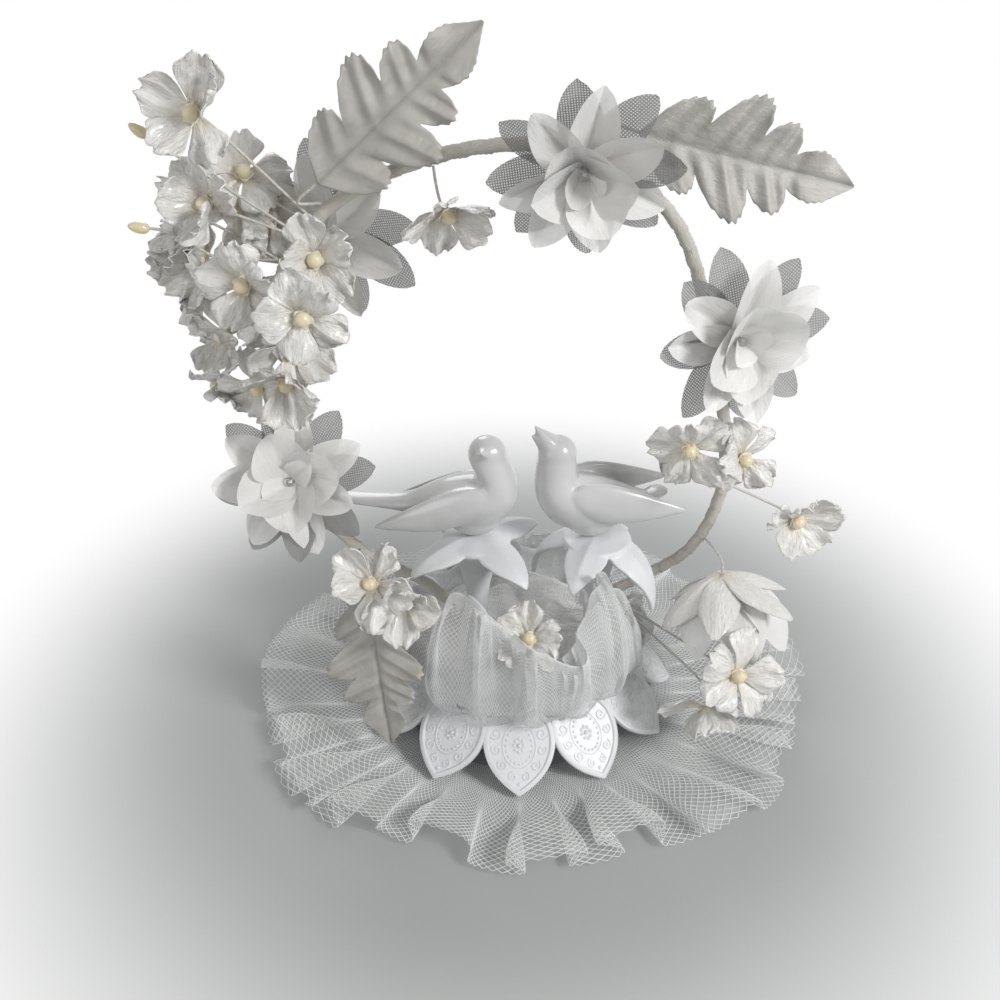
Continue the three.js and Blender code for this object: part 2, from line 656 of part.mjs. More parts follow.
// Large sheer flowers: an outer whorl, a cupped inner one and a dew drop on the pick.
const openOuter = { petals: 8, radius: SHEER_RADIUS, depth: SHEER_DEPTH, notch: 0.45, uneven: 0.25 };
const openInner = {
  petals: 6,
  radius: SHEER_INNER_RADIUS,
  depth: SHEER_INNER_DEPTH,
  notch: 0.5,
  curve: 1.3,
};
const hangingOuter = { petals: 6, radius: SHEER_RADIUS, depth: SEPAL_DROP, notch: 0.3, point: 1.4 };
const hangingInner = { ...openInner, radius: BELL_RADIUS, depth: BELL_DROP };
const sheerFlowers = [
  { name: "top", at: 0.556, out: [-0.3, -1.1, 0], face: [0.03, -0.93, -0.3], roll: 10 },
  { name: "right", at: 0.69, out: [0.6, -1.1, 0], face: [0.25, -0.94, 0.1], roll: 24 },
  { name: "left", at: 0.213, out: [0.4, -1.1, -0.2], face: [-0.1, -0.88, 0.42], roll: 5 },
  { name: "back", at: 0.378, out: [0.6, 1.1, -0.5], face: [0.3, 0.92, 0], roll: 15, inner: null },
  {
    name: "hanging",
    at: 0.855,
    out: [0.6, -1.4, -0.8],
    face: [0.1, -0.25, -0.97],
    roll: 0,
    outer: hangingOuter,
    inner: hangingInner,
  },
];
for (const spec of sheerFlowers) {
  const flower = flowerGroup(spec);
  const { outer = openOuter, inner = openInner } = spec;
  const cloth = { hole: holeRadius, thickness: PETAL_THICKNESS };
  const prefix = "sheer_" + spec.name;
  addMesh(flower.group, prefix + "_outer", whorlBody({ ...outer, ...cloth }), sheer);
  let stack = PETAL_THICKNESS + GAP;
  if (inner) {
    const mesh = addMesh(flower.group, prefix + "_inner", whorlBody({ ...inner, ...cloth }), sheer);
    mesh.position.z = SHEER_STEP;
    stack += SHEER_STEP;
  }
  const head = flower.hub.clone().addScaledVector(flower.face, stack + DEW_RADIUS);
  const drop = new THREE.SphereGeometry(DEW_RADIUS, 6, 4);
  addPick("dew_pick_" + spec.name, drop, head, flower, clear);
}

// Pearl buds on bare wires.
const buds = [
  { name: "pearl_bud_upper", at: 0.372, out: [-4.1, -0.4, 3.1], face: [-0.75, -0.1, 0.6] },
  { name: "pearl_bud_lower", at: 0.334, out: [-3.1, -1.8, 2.5], face: [-0.95, -0.2, 0.2] },
];
for (const spec of buds) {
  const flower = flowerGroup(spec);
  const bud = new THREE.SphereGeometry(BUD_RADIUS, 7, 5);
  bud.scale(1, 1, BUD_LENGTH / (2 * BUD_RADIUS)).applyQuaternion(flower.group.quaternion);
  const head = flower.hub.clone().addScaledVector(flower.face, BUD_LENGTH / 4);
  addPick(spec.name, bud, head, flower, pearl);
}

// Satin leaves: a lobed blade, and the wire glued along its back that ties it to the arch.
const leaves = [
  {
    name: "leaf_left",
    at: 0.396,
    length: LEAF_LENGTH,
    dir: [0.75, 0, 0.66],
    normal: [0.1, -1, 0.1],
    lead: [-0.8, -0.7, 0.3],
  },
  {
    name: "leaf_right",
    at: 0.575,
    length: LEAF_LENGTH,
    dir: [0.96, -0.05, -0.22],
    normal: [-0.1, -1, 0.2],
    lead: [-0.3, 0.7, 1.1],
  },
  {
    name: "leaf_low",
    at: 0.125,
    length: LOW_LEAF_LENGTH,
    dir: [0.1, -0.42, -0.9],
    normal: [-0.3, -0.85, 0.4],
    lead: [0.6, -2.6, 1],
  },
];
function leafHalfWidth(share) {
  const envelope = Math.sin(Math.PI * Math.pow(share, 0.75)) ** 0.8;
  const lobe = Math.abs(Math.sin(Math.PI * LEAF_LOBES * share)) ** LEAF_LOBE_POWER;
  return LEAF_RIB + LEAF_HALF_WIDTH * envelope * lerp(LEAF_NOTCH, 1, lobe);
}
for (const spec of leaves) {
  const along = v3(...spec.dir).normalize();
  const across = v3(...spec.normal).cross(along).normalize();
  const normal = along.clone().cross(across);
  const root = archPoint(spec.at).addScaledVector(v3(...spec.lead), wreathPitch);
  const place = new THREE.Matrix4().makeBasis(along, across, normal);
  place.setPosition(root.clone().addScaledVector(along, LEAF_STALK));
  const rows = LEAF_LOBES * 4 + 1;
  const blade = sheetBody(3, rows, false, (i, j, side) => {
    const share = j / (rows - 1);
    const half = leafHalfWidth(share) * (i - 1);
    const lean = LEAF_LEAN * Math.abs(half);
    const x = Math.min(spec.length * share + lean, spec.length);
    const fold = 0.18 * Math.abs(half) - LEAF_SAG * share * share;
    return v3(x, half, fold + (side * PETAL_THICKNESS) / 2);
  });
  addMesh(topper, spec.name, blade.applyMatrix4(place), satin);
  const below = PETAL_THICKNESS / 2 + GAP + PICK_RADIUS;
  const wirePoints = [0.04, 0.3, 0.55, LEAF_WIRE_SHARE].map((share) =>
    v3(spec.length * share, 0, -LEAF_SAG * share * share - below).applyMatrix4(place),
  );
  const start = root.clone().addScaledVector(normal, -2 * below);
  const anchor = archAnchor(spec.at, start);
  const route = new THREE.CatmullRomCurve3([anchor, start, ...wirePoints], false, "centripetal");
  addMesh(topper, spec.name + "_wire", barBody(route, PICK_RADIUS, PICK_SIDES, 12), tape);
}

// Foam block, last, because the pieces pushed into it make its sockets.
const foamProfile = [
  [0, BASE_FLOOR + GAP],
  [foamRadius, BASE_FLOOR + GAP],
  [foamRadius, FOAM_TOP],
  [0, FOAM_TOP],
];
let block = solid(turnedBody(foamProfile, 28));
for (const cut of foamCuts) block = block.subtract(cut);
addMesh(topper, "foam_block", geometryOf(block), foam);

export default topper;
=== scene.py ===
# %% [markdown]
# # A wedding cake topper
# The frame holds sixty solids: a moulded base, two birds on lily perches, and a wreath of fabric
# flowers. This lesson gives each of them the surface that the real one has: net with open
# meshes, die-cut satin and gauze, glossy plastic and crepe tape. Loading the frame first means
# that every piece can be set in the place its solid already holds.

# %% Load the frame
import json
import math
from functools import partial

import bpy
import numpy as np
from mathutils import Matrix, Vector


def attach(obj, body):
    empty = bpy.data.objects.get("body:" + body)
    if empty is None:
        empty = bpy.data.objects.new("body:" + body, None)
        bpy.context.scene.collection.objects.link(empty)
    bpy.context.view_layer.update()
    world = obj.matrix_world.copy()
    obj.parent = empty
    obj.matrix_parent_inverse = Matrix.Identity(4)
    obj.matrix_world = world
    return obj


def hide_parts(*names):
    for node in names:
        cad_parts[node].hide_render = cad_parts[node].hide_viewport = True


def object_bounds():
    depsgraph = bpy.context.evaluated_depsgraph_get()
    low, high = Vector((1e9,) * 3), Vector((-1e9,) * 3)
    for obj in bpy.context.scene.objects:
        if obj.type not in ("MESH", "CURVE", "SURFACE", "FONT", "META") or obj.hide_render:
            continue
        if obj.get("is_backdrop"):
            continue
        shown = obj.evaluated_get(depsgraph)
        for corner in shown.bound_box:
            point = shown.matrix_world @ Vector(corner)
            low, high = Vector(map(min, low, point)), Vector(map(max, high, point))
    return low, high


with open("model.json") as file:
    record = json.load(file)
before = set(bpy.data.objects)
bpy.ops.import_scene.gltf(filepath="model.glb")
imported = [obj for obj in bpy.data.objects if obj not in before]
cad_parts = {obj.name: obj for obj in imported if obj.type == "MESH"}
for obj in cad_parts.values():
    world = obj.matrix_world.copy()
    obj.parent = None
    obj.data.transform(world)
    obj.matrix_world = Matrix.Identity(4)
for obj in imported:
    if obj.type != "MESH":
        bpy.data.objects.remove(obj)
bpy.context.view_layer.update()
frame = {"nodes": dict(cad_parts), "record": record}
MM = 0.001
BODIES = frame["record"]["behaviour"]["bodies"]
BODY_OF = {name: body for body, names in BODIES.items() for name in names}

# %% [markdown]
# ## Working habits
# Operators act on whatever is selected, so each step starts from an empty selection. The same
# few habits come back all the time: add a primitive, move its points, apply a modifier, copy it
# to its place, join the copies. They are written once here and then read like a work list.

# %% Selecting
def start():
    """Nothing is selected, so the next operator touches only what it makes."""
    bpy.ops.object.select_all(action="DESELECT")


def made(name):
    """The object that the last operator made, under its name."""
    piece = bpy.context.active_object
    piece.name = piece.data.name = name
    return piece


def pick(piece):
    start()
    piece.select_set(True)
    bpy.context.view_layer.objects.active = piece


def edit_all(piece):
    """Goes into edit mode with everything selected."""
    pick(piece)
    bpy.ops.object.mode_set(mode="EDIT")
    bpy.ops.mesh.select_all(action="SELECT")


def leave_edit():
    bpy.ops.object.mode_set(mode="OBJECT")


def edit_points(piece, chosen):
    """Goes into edit mode with only the chosen points selected."""
    pick(piece)
    bpy.ops.object.mode_set(mode="EDIT")
    bpy.ops.mesh.select_mode(type="VERT")
    bpy.ops.mesh.select_all(action="DESELECT")
    leave_edit()
    for vertex, on in zip(piece.data.vertices, chosen):
        vertex.select = bool(on)
    bpy.ops.object.mode_set(mode="EDIT")


# %% Points and cuts
def mm(*numbers):
    return Vector(numbers) * MM


def turn_of(axis, degrees):
    return Matrix.Rotation(math.radians(degrees), 4, axis)


def points_of(piece):
    flat = np.empty(len(piece.data.vertices) * 3)
    piece.data.vertices.foreach_get("co", flat)
    return flat.reshape(-1, 3)


def move_points(piece, points):
    piece.data.vertices.foreach_set("co", np.asarray(points, float).ravel())
    piece.data.update()


def area_of(piece):
    return sum(face.area for face in piece.data.polygons)


def lay_uv(piece, spots):
    """Gives each point its spot on the UV map."""
    corner = np.empty(len(piece.data.loops), int)
    piece.data.loops.foreach_get("vertex_index", corner)
    layers = piece.data.uv_layers
    layer = layers[0] if layers else layers.new(name="UVMap")
    layer.data.foreach_set("uv", spots[corner].ravel())


def keep_cut(piece):
    """Stores the flat cut, in centimetres, as the UV map; returns its area in square metres."""
    lay_uv(piece, points_of(piece)[:, :2] * 100)
    return area_of(piece)


# %% Blanks and changes
def ball(name, radius, segments, rings):
    start()
    bpy.ops.mesh.primitive_uv_sphere_add(segments=segments, ring_count=rings, radius=radius * MM)
    return made(name)


def grid(name, along, across):
    """A flat grid; each point's share along it is 0 to 1, and its place across it -1 to 1."""
    start()
    bpy.ops.mesh.primitive_grid_add(x_subdivisions=along, y_subdivisions=across, size=2)
    piece = made(name)
    points = points_of(piece)
    return piece, (points[:, 0] + 1) / 2, points[:, 1]


def modify(piece, kind, **settings):
    """Adds a modifier, sets it and applies it."""
    pick(piece)
    modifier = piece.modifiers.new(kind.lower(), kind)
    for key, value in settings.items():
        setattr(modifier, key, value)
    bpy.ops.object.modifier_apply(modifier=modifier.name)
    return piece


def smooth(piece):
    pick(piece)
    bpy.ops.object.shade_smooth()
    return piece


def outward(piece):
    """Merges doubles and turns all faces outwards."""
    edit_all(piece)
    bpy.ops.mesh.remove_doubles(threshold=0.01 * MM)
    bpy.ops.mesh.normals_make_consistent(inside=False)
    leave_edit()
    return piece


# %% Copies, finishes and bodies
def copy_of(master, name, place):
    """A copy with its own mesh, moved into place in the mesh itself."""
    piece = bpy.data.objects.new(name, master.data.copy())
    piece.data.name = name
    piece.data.transform(place)
    bpy.context.scene.collection.objects.link(piece)
    return piece


def joined(parts, name):
    pick(parts[0])
    for part in parts:
        part.select_set(True)
    bpy.ops.object.join()
    return made(name)


def discard(*pieces):
    for piece in pieces:
        bpy.data.objects.remove(piece)


def coat(piece, material):
    """Gives a piece its finish, in place of any it has."""
    piece.data.materials.clear()
    piece.data.materials.append(material)
    return piece


def dress(piece, slot, *nodes):
    """The piece stands for these solids and moves with their body."""
    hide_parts(*nodes)
    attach(piece, BODY_OF[nodes[0]])
    return piece


# %% [markdown]
# ## Camera
# The viewpoint is a little above the topper, looking down by 32.5 degrees. The lens follows from
# how strongly the real thing converges: 997 pixels of focal length on a picture of 1000 pixels.

# %% Camera
SENSOR_WIDTH = 36
FOCAL_PIXELS, PICTURE_PIXELS = 997, 1000
LOOKING_DOWN = 32.5
view = bpy.data.cameras.new("camera")
view.sensor_width = SENSOR_WIDTH
view.lens = SENSOR_WIDTH * FOCAL_PIXELS / PICTURE_PIXELS
camera = bpy.data.objects.new("camera", view)
camera.location = mm(-6.7, -294, 273)
camera.rotation_euler = (math.radians(90 - LOOKING_DOWN), 0, 0)
scene = bpy.context.scene
scene.collection.objects.link(camera)
scene.camera = camera
print("camera lens", round(view.lens, 1), "mm")

# %% [markdown]
# ## Stage and light
# White lace on a white table would vanish, so the floor is a pale grey under the net and turns to
# plain white further out. The white is what the camera sees only; the light on the object comes
# from one large soft lamp on the right, weaker ones on the left and behind, and the room. World,
# floor and finishes are all node trees, so a few short helpers for nodes come first.

# %% Node helpers
def put(tree, socket, value):
    """Links a socket to another node's output, or sets it to a number or a colour."""
    if isinstance(value, bpy.types.NodeSocket):
        tree.links.new(value, socket)
    else:
        socket.default_value = value


def node(tree, kind, inputs=None, **settings):
    new = tree.nodes.new(kind)
    for key, value in settings.items():
        setattr(new, key, value)
    for key, value in (inputs or {}).items():
        put(tree, new.inputs[key], value)
    return new


def maths(tree, operation, *values):
    """A Math node; each value is a number or a socket."""
    return node(tree, "ShaderNodeMath", dict(enumerate(values)), operation=operation).outputs[0]


def ramped(tree, value, low, high):
    """Rises smoothly from 0 at low to 1 at high."""
    inputs = {"Value": value, "From Min": low, "From Max": high}
    return node(tree, "ShaderNodeMapRange", inputs, interpolation_type="SMOOTHSTEP").outputs[0]


def either_shader(tree, factor, first, second, output):
    """Mixes two shaders and sends them to the tree's output."""
    mix = node(tree, "ShaderNodeMixShader", {0: factor, 1: first.outputs[0], 2: second.outputs[0]})
    put(tree, tree.nodes[output].inputs[0], mix.outputs[0])


def seen_directly(tree):
    """1 for rays from the camera and for those that a mirror or a drop sends on, 0 for the rest."""
    rays = node(tree, "ShaderNodeLightPath").outputs
    sent_on = maths(tree, "MAXIMUM", rays["Is Glossy Ray"], rays["Is Transmission Ray"])
    return maths(tree, "MAXIMUM", rays["Is Camera Ray"], sent_on)


def finish_of(name, roughness, **plain):
    """A material with its plain values set; returns it, its tree and its shader."""
    material = bpy.data.materials.new(name)
    material.use_nodes = True
    tree = material.node_tree
    shader = tree.nodes["Principled BSDF"]
    for key, value in {"Roughness": roughness, **plain}.items():
        put(tree, shader.inputs[key.replace("_", " ")], value)
    return material, tree, shader


# %% World and view
ROOM_LIGHT = 0.34
scene.view_settings.view_transform = "Standard"
scene.world = bpy.data.worlds.new("studio")
scene.world.use_nodes = True
tree = scene.world.node_tree
room = tree.nodes["Background"]
put(tree, room.inputs["Color"], (1, 0.985, 0.965, 1))
put(tree, room.inputs["Strength"], ROOM_LIGHT)
white = node(tree, "ShaderNodeBackground", {"Color": (1, 1, 1, 1)})
either_shader(tree, seen_directly(tree), room, white, "World Output")
print("room light:", ROOM_LIGHT)

# %% Floor
FLOOR_RADIUS, GREY_UP_TO, WHITE_FROM = 600 * MM, 105 * MM, 240 * MM
start()
bpy.ops.mesh.primitive_circle_add(vertices=96, radius=FLOOR_RADIUS, fill_type="NGON")
floor = made("floor")
paper, tree, shader = finish_of("floor_paper", 0.7, Base_Color=(0.43, 0.445, 0.445, 1))
spot = node(tree, "ShaderNodeTexCoord").outputs["Object"]
away = node(tree, "ShaderNodeVectorMath", {0: spot}, operation="LENGTH").outputs["Value"]
share = maths(tree, "MULTIPLY", ramped(tree, away, GREY_UP_TO, WHITE_FROM), seen_directly(tree))
either_shader(tree, share, shader, node(tree, "ShaderNodeEmission"), "Material Output")
coat(floor, paper)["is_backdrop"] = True
print("floor:", FLOOR_RADIUS, "m in radius")

# %% Lamps
# place, aim and size in metres, power in watts
LAMPS = {
    "window": ((0.55, -0.4, 0.5), (0, 0, 0.09), 0.24, 4.0),
    "fill": ((-0.7, -0.6, 0.4), (0, 0, 0.11), 0.6, 1.5),
    "back": ((-0.2, 0.75, 0.6), (0, 0, 0.11), 0.5, 2.2),
}
for name, (spot, aim, size, watts) in LAMPS.items():
    light = bpy.data.lights.new(name, "AREA")
    light.shape = "DISK"
    light.size = size
    light.energy = watts
    lamp = bpy.data.objects.new(name, light)
    lamp.location = spot
    lamp.rotation_euler = (Vector(aim) - Vector(spot)).to_track_quat("-Z", "Y").to_euler()
    scene.collection.objects.link(lamp)
print("lamps:", len(LAMPS))

# %% [markdown]
# ## Cloth patterns as node groups
# Woven cloth shows two things at this size: the grid of its threads, and the fine crumple that
# pressing leaves in a petal. Both are used by several cloths, so each is one node group. They
# read the UV map, which holds the flat cut in centimetres, and so the threads run straight
# through a petal however it is bent. A third group is the small unevenness of moulded and
# wound surfaces.

# %% Group helper
def new_group(name, inputs, outputs):
    """An empty group; inputs maps a name to its default, outputs lists names."""
    group = bpy.data.node_groups.new(name, "ShaderNodeTree")
    for key, value in inputs.items():
        socket = group.interface.new_socket(key, in_out="INPUT", socket_type="NodeSocketFloat")
        socket.default_value = value
    for key in outputs:
        group.interface.new_socket(key, in_out="OUTPUT", socket_type="NodeSocketFloat")
    return group, node(group, "NodeGroupInput").outputs, node(group, "NodeGroupOutput").inputs


def cut_axes(tree):
    """The flat cut's X and Y, in centimetres."""
    cut = node(tree, "ShaderNodeUVMap").outputs[0]
    return node(tree, "ShaderNodeSeparateXYZ", {0: cut}).outputs


def noise(tree, vector, scale, **more):
    inputs = {"Vector": vector, "Scale": scale, **more}
    return node(tree, "ShaderNodeTexNoise", inputs).outputs[0]


# %% Threads group
threads, given, result = new_group("cloth_threads", {"Per cm": 12.0, "Open": 0.3}, ["Thread", "Height"])
THREAD_EDGE = 0.3
axes = cut_axes(threads)
waves = []
for axis in ("X", "Y"):
    turns = maths(threads, "MULTIPLY", axes[axis], given["Per cm"])
    wave = maths(threads, "COSINE", maths(threads, "MULTIPLY", turns, 2 * math.pi))
    waves.append(maths(threads, "MULTIPLY_ADD", wave, 0.5, 0.5))
height = maths(threads, "MAXIMUM", *waves)
closed = maths(threads, "ADD", given["Open"], THREAD_EDGE)
put(threads, result["Thread"], ramped(threads, height, given["Open"], closed))
put(threads, result["Height"], height)
print("group:", threads.name)

# %% Crumple group
crumple, given, result = new_group("cloth_crumple", {"Fine": 6.0, "Stretch": 4.0}, ["Height", "Shade"])
CLOUDS_PER_METRE = 90
fine_across = maths(crumple, "MULTIPLY", given["Fine"], given["Stretch"])
stretch = node(crumple, "ShaderNodeCombineXYZ", {"X": given["Fine"], "Y": fine_across}).outputs[0]
cut = node(crumple, "ShaderNodeUVMap").outputs[0]
pulled = node(crumple, "ShaderNodeVectorMath", {0: cut, 1: stretch}, operation="MULTIPLY").outputs[0]
put(crumple, result["Height"], noise(crumple, pulled, 1, Detail=4, Roughness=0.6))
space = node(crumple, "ShaderNodeTexCoord").outputs["Object"]
put(crumple, result["Shade"], noise(crumple, space, CLOUDS_PER_METRE))
print("group:", crumple.name)

# %% Grain group
grain, given, result = new_group("surface_grain", {"Scale": 600.0}, ["Height", "Shade"])
PATCHES_PER_METRE = 60
space = node(grain, "ShaderNodeTexCoord").outputs["Object"]
put(grain, result["Height"], noise(grain, space, given["Scale"], Detail=3))
put(grain, result["Shade"], noise(grain, space, PATCHES_PER_METRE))
print("group:", grain.name)

# %% [markdown]
# ## Finishes
# Each finish is one Principled shader. What is the same all over a surface, such as its gloss
# coat or sheen, is set on the shader itself; the groups only bring what changes over it.

# %% Finish helpers
RAMP_FROM, RAMP_TO = 0.3, 0.7


def use(tree, group, **values):
    """Places a group and returns its outputs."""
    inputs = {key.replace("_", " "): value for key, value in values.items()}
    return node(tree, "ShaderNodeGroup", inputs, node_tree=group).outputs


def shades(tree, shader, factor, dark, light):
    """The colour runs from dark to light with the factor's middle range."""
    ramp = node(tree, "ShaderNodeValToRGB", {0: factor})
    stops = ramp.color_ramp.elements
    for stop, place, colour in zip(stops, (RAMP_FROM, RAMP_TO), (dark, light)):
        stop.position = place
        stop.color = (*colour, 1)
    put(tree, shader.inputs["Base Color"], ramp.outputs[0])


def relief(tree, shader, *layers):
    """Bumps on top of each other; each layer is a height and its depth in mm."""
    normal = None
    for height, depth in layers:
        bump = node(tree, "ShaderNodeBump", {"Height": height, "Distance": depth * MM})
        if normal is not None:
            put(tree, bump.inputs["Normal"], normal)
        normal = bump.outputs[0]
    put(tree, shader.inputs["Normal"], normal)


def see_through(tree, shader, factor, span, least):
    """Opacity from least up to least plus span."""
    put(tree, shader.inputs["Alpha"], maths(tree, "MULTIPLY_ADD", factor, span, least))


# %% [markdown]
# Satin is the shiniest cloth: petals yellow a little towards their hub, and the leaves are
# stiffened and duller, with a darker line along the midrib. Gauze is open and reads dark against
# the light, organza is milky, and the net's threads are plain matt white.

# %% Satin
satin, tree, shader = finish_of(
    "satin", 0.2, Sheen_Weight=0.3, Specular_IOR_Level=1.0, Coat_Weight=0.5, Coat_Roughness=0.16
)
folds = use(tree, crumple, Fine=4, Stretch=3)
weave = use(tree, threads, Per_cm=34, Open=0.2)
outer = maths(tree, "MINIMUM", maths(tree, "MULTIPLY", cut_axes(tree)["X"], 0.75), 0.6)
tint = maths(tree, "MULTIPLY_ADD", folds["Shade"], 0.4, outer)
shades(tree, shader, tint, (0.83, 0.76, 0.61), (0.9, 0.885, 0.85))
relief(tree, shader, (folds["Height"], 1.2), (weave["Height"], 0.04))

leaf_satin, tree, shader = finish_of("leaf_satin", 0.34, Sheen_Weight=0.2, Specular_IOR_Level=0.7)
folds = use(tree, crumple, Fine=1.2, Stretch=2)
weave = use(tree, threads, Per_cm=26, Open=0.2)
beside = maths(tree, "ABSOLUTE", cut_axes(tree)["Y"])
midrib = maths(tree, "MINIMUM", maths(tree, "MULTIPLY_ADD", beside, 2, 0.8), 1)
tint = maths(tree, "MULTIPLY", maths(tree, "MULTIPLY_ADD", folds["Shade"], 0.3, 0.37), midrib)
shades(tree, shader, tint, (0.2, 0.19, 0.17), (0.62, 0.6, 0.56))
relief(tree, shader, (folds["Height"], 0.8), (weave["Height"], 0.05))
print("satins:", satin.name, leaf_satin.name)

# %% Sheer cloth
gauze, tree, shader = finish_of("gauze", 0.6)
weave = use(tree, threads, Per_cm=12.5, Open=0.4)
shades(tree, shader, weave["Height"], (0.15, 0.15, 0.145), (0.31, 0.31, 0.305))
see_through(tree, shader, weave["Thread"], 0.5, 0.46)
relief(tree, shader, (weave["Height"], 0.1))

organza, tree, shader = finish_of("organza", 0.4, Sheen_Weight=0.3)
folds = use(tree, crumple, Fine=1.6, Stretch=5)
weave = use(tree, threads, Per_cm=26, Open=0.3)
shades(tree, shader, folds["Shade"], (0.84, 0.835, 0.82), (0.93, 0.925, 0.91))
see_through(tree, shader, weave["Thread"], 0.08, 0.77)
relief(tree, shader, (folds["Height"], 0.35), (weave["Height"], 0.05))


def fine_finish(name, body):
    """A net too fine to show its threads: a soft white that lets part of the light by."""
    material, tree, shader = finish_of(name, 0.6, Base_Color=(0.88, 0.89, 0.89, 1), Sheen_Weight=0.3)
    folds = use(tree, crumple, Fine=0.8, Stretch=1.5)
    see_through(tree, shader, folds["Shade"], 0.5, body - 0.25)
    relief(tree, shader, (folds["Height"], 0.4))
    return material


veil, haze = fine_finish("veil", 0.55), fine_finish("haze", 0.2)
print("sheer:", gauze.name, organza.name, veil.name, haze.name)

# %% Grained finishes
def grained(name, roughness, scale, depth, dark, light, tone="Shade", **plain):
    """Fine grain in the relief; broad patches, or the grain itself, in the colour.

    The scale is in grains per metre and the depth in mm.
    """
    material, tree, shader = finish_of(name, roughness, **plain)
    skin = use(tree, grain, Scale=scale)
    shades(tree, shader, skin[tone], dark, light)
    relief(tree, shader, (skin["Height"], depth))
    return material


glossy = {"Coat_Weight": 0.5, "Coat_Roughness": 0.12}
lustre = {"Coat_Weight": 0.6, "Coat_Roughness": 0.1}
soft = {"Sheen_Weight": 0.2}
net = grained("net", 0.55, 900, 0.05, (0.82, 0.83, 0.83), (0.91, 0.92, 0.92), **soft)
moulded = grained(
    "moulded_white", 0.46, 500, 0.06, (0.705, 0.72, 0.735), (0.785, 0.8, 0.815), Coat_Weight=0.1
)
pearly = grained("pearly_white", 0.26, 180, 0.05, (0.55, 0.55, 0.555), (0.65, 0.65, 0.655), **glossy)
pearl = grained("cream_pearl", 0.24, 300, 0.04, (0.76, 0.65, 0.4), (0.84, 0.76, 0.55), **lustre)
wax = grained("cream_wax", 0.42, 900, 0.2, (0.82, 0.76, 0.6), (0.87, 0.85, 0.78), **soft)
wrapped = grained("wrapped_wire", 0.6, 1500, 0.1, (0.5, 0.48, 0.43), (0.74, 0.72, 0.67), "Height")
steel = grained("bare_wire", 0.35, 800, 0.03, (0.42, 0.42, 0.41), (0.58, 0.58, 0.57), Metallic=1.0)
print("grained:", net.name, moulded.name, pearly.name, pearl.name, wax.name, wrapped.name, steel.name)

# %% Dew, tape and foam
dew, tree, shader = finish_of("clear_dew", 0.03, Base_Color=(1, 1, 1, 1), IOR=1.42, Transmission_Weight=1.0)
relief(tree, shader, (use(tree, grain, Scale=400)["Height"], 0.02))

crepe, tree, shader = finish_of("crepe_tape", 0.7)
folds = use(tree, crumple, Fine=5, Stretch=6)
shades(tree, shader, folds["Height"], (0.54, 0.51, 0.45), (0.76, 0.74, 0.68))
relief(tree, shader, (folds["Height"], 0.5))

cells, tree, shader = finish_of("white_foam", 0.9)
space = node(tree, "ShaderNodeTexCoord").outputs["Object"]
beads = node(tree, "ShaderNodeTexVoronoi", {"Vector": space, "Scale": 500}).outputs["Distance"]
shades(tree, shader, beads, (0.84, 0.84, 0.83), (0.7, 0.7, 0.69))
relief(tree, shader, (beads, -0.4))
print("finishes:", len(bpy.data.materials))

# %% [markdown]
# ## The wreath's line
# Every wire in the wreath is a smooth line through a few stops, so one spline serves them all: a
# centripetal Catmull-Rom curve, which passes through its stops without overshooting. The stops
# of the arch are those of the solid, in millimetres.

# %% Splines
def spline(stops, samples):
    """Points along a smooth line through the stops."""
    stops = np.asarray([tuple(stop) for stop in stops], float)
    stops = np.vstack([2 * stops[0] - stops[1], stops, 2 * stops[-1] - stops[-2]])
    t = np.linspace(0, len(stops) - 3, samples)
    k = np.minimum(t.astype(int), len(stops) - 4)
    w = (t - k)[:, None]
    a, b, c, d = (stops[k + i] for i in range(4))
    ab, bc, cd = (np.linalg.norm(q - p, axis=1)[:, None] ** 0.5 for p, q in ((a, b), (b, c), (c, d)))
    leave = bc * ((b - a) / ab - (c - a) / (ab + bc) + (c - b) / bc)
    meet = bc * ((c - b) / bc - (d - b) / (bc + cd) + (d - c) / cd)
    return b + w * leave + w**2 * (3 * (c - b) - 2 * leave - meet) + w**3 * (2 * (b - c) + leave + meet)


# %% Arch
FOAM_TOP = 26
ARCH_SAMPLES = 1800
ARCH_STOPS = [
    (-24, 18, -14), (-25, 17, -2), (-34, 13, 13), (-57, 7, 33), (-75, 4, 60), (-83, 4, 95),
    (-79, 4, 129), (-61, 4, 158), (-24, 4, 176), (16, 4, 177), (45, 4, 158), (60, 4, 124),
    (69, 4, 88), (71, 4, 60), (63, 7, 34), (45, 12, 16), (25, 17, -2), (24, 18, -14),
]
arch = spline([mm(x, y, z + FOAM_TOP) for x, y, z in ARCH_STOPS], ARCH_SAMPLES)
arch_run = np.concatenate([[0], np.cumsum(np.linalg.norm(np.diff(arch, axis=0), axis=1))])


def arch_point(share):
    return Vector([np.interp(share * arch_run[-1], arch_run, arch[:, k]) for k in range(3)])


def arch_tangent(share):
    return (arch_point(share + 0.002) - arch_point(share - 0.002)).normalized()


def tape_anchor(share, near, skin):
    """The spot at that distance from the arch's middle, on the side where a near point lies."""
    centre, tangent = arch_point(share), arch_tangent(share)
    reach = near - centre
    return centre + (reach - tangent * reach.dot(tangent)).normalized() * skin


print("arch length", round(arch_run[-1] * 1000), "mm")

# %% [markdown]
# ## Tape on the arch
# Floral tape is crepe paper wound on at a slant, so its edge makes a low step that climbs round
# the wire. A tube alone would look like hose. Here a round tube is swept along the arch by a
# curve's bevel and made a mesh, and then each of its points is pushed out by how far it has got
# along the winding: a slow rise, and a sudden drop at the tape's edge.

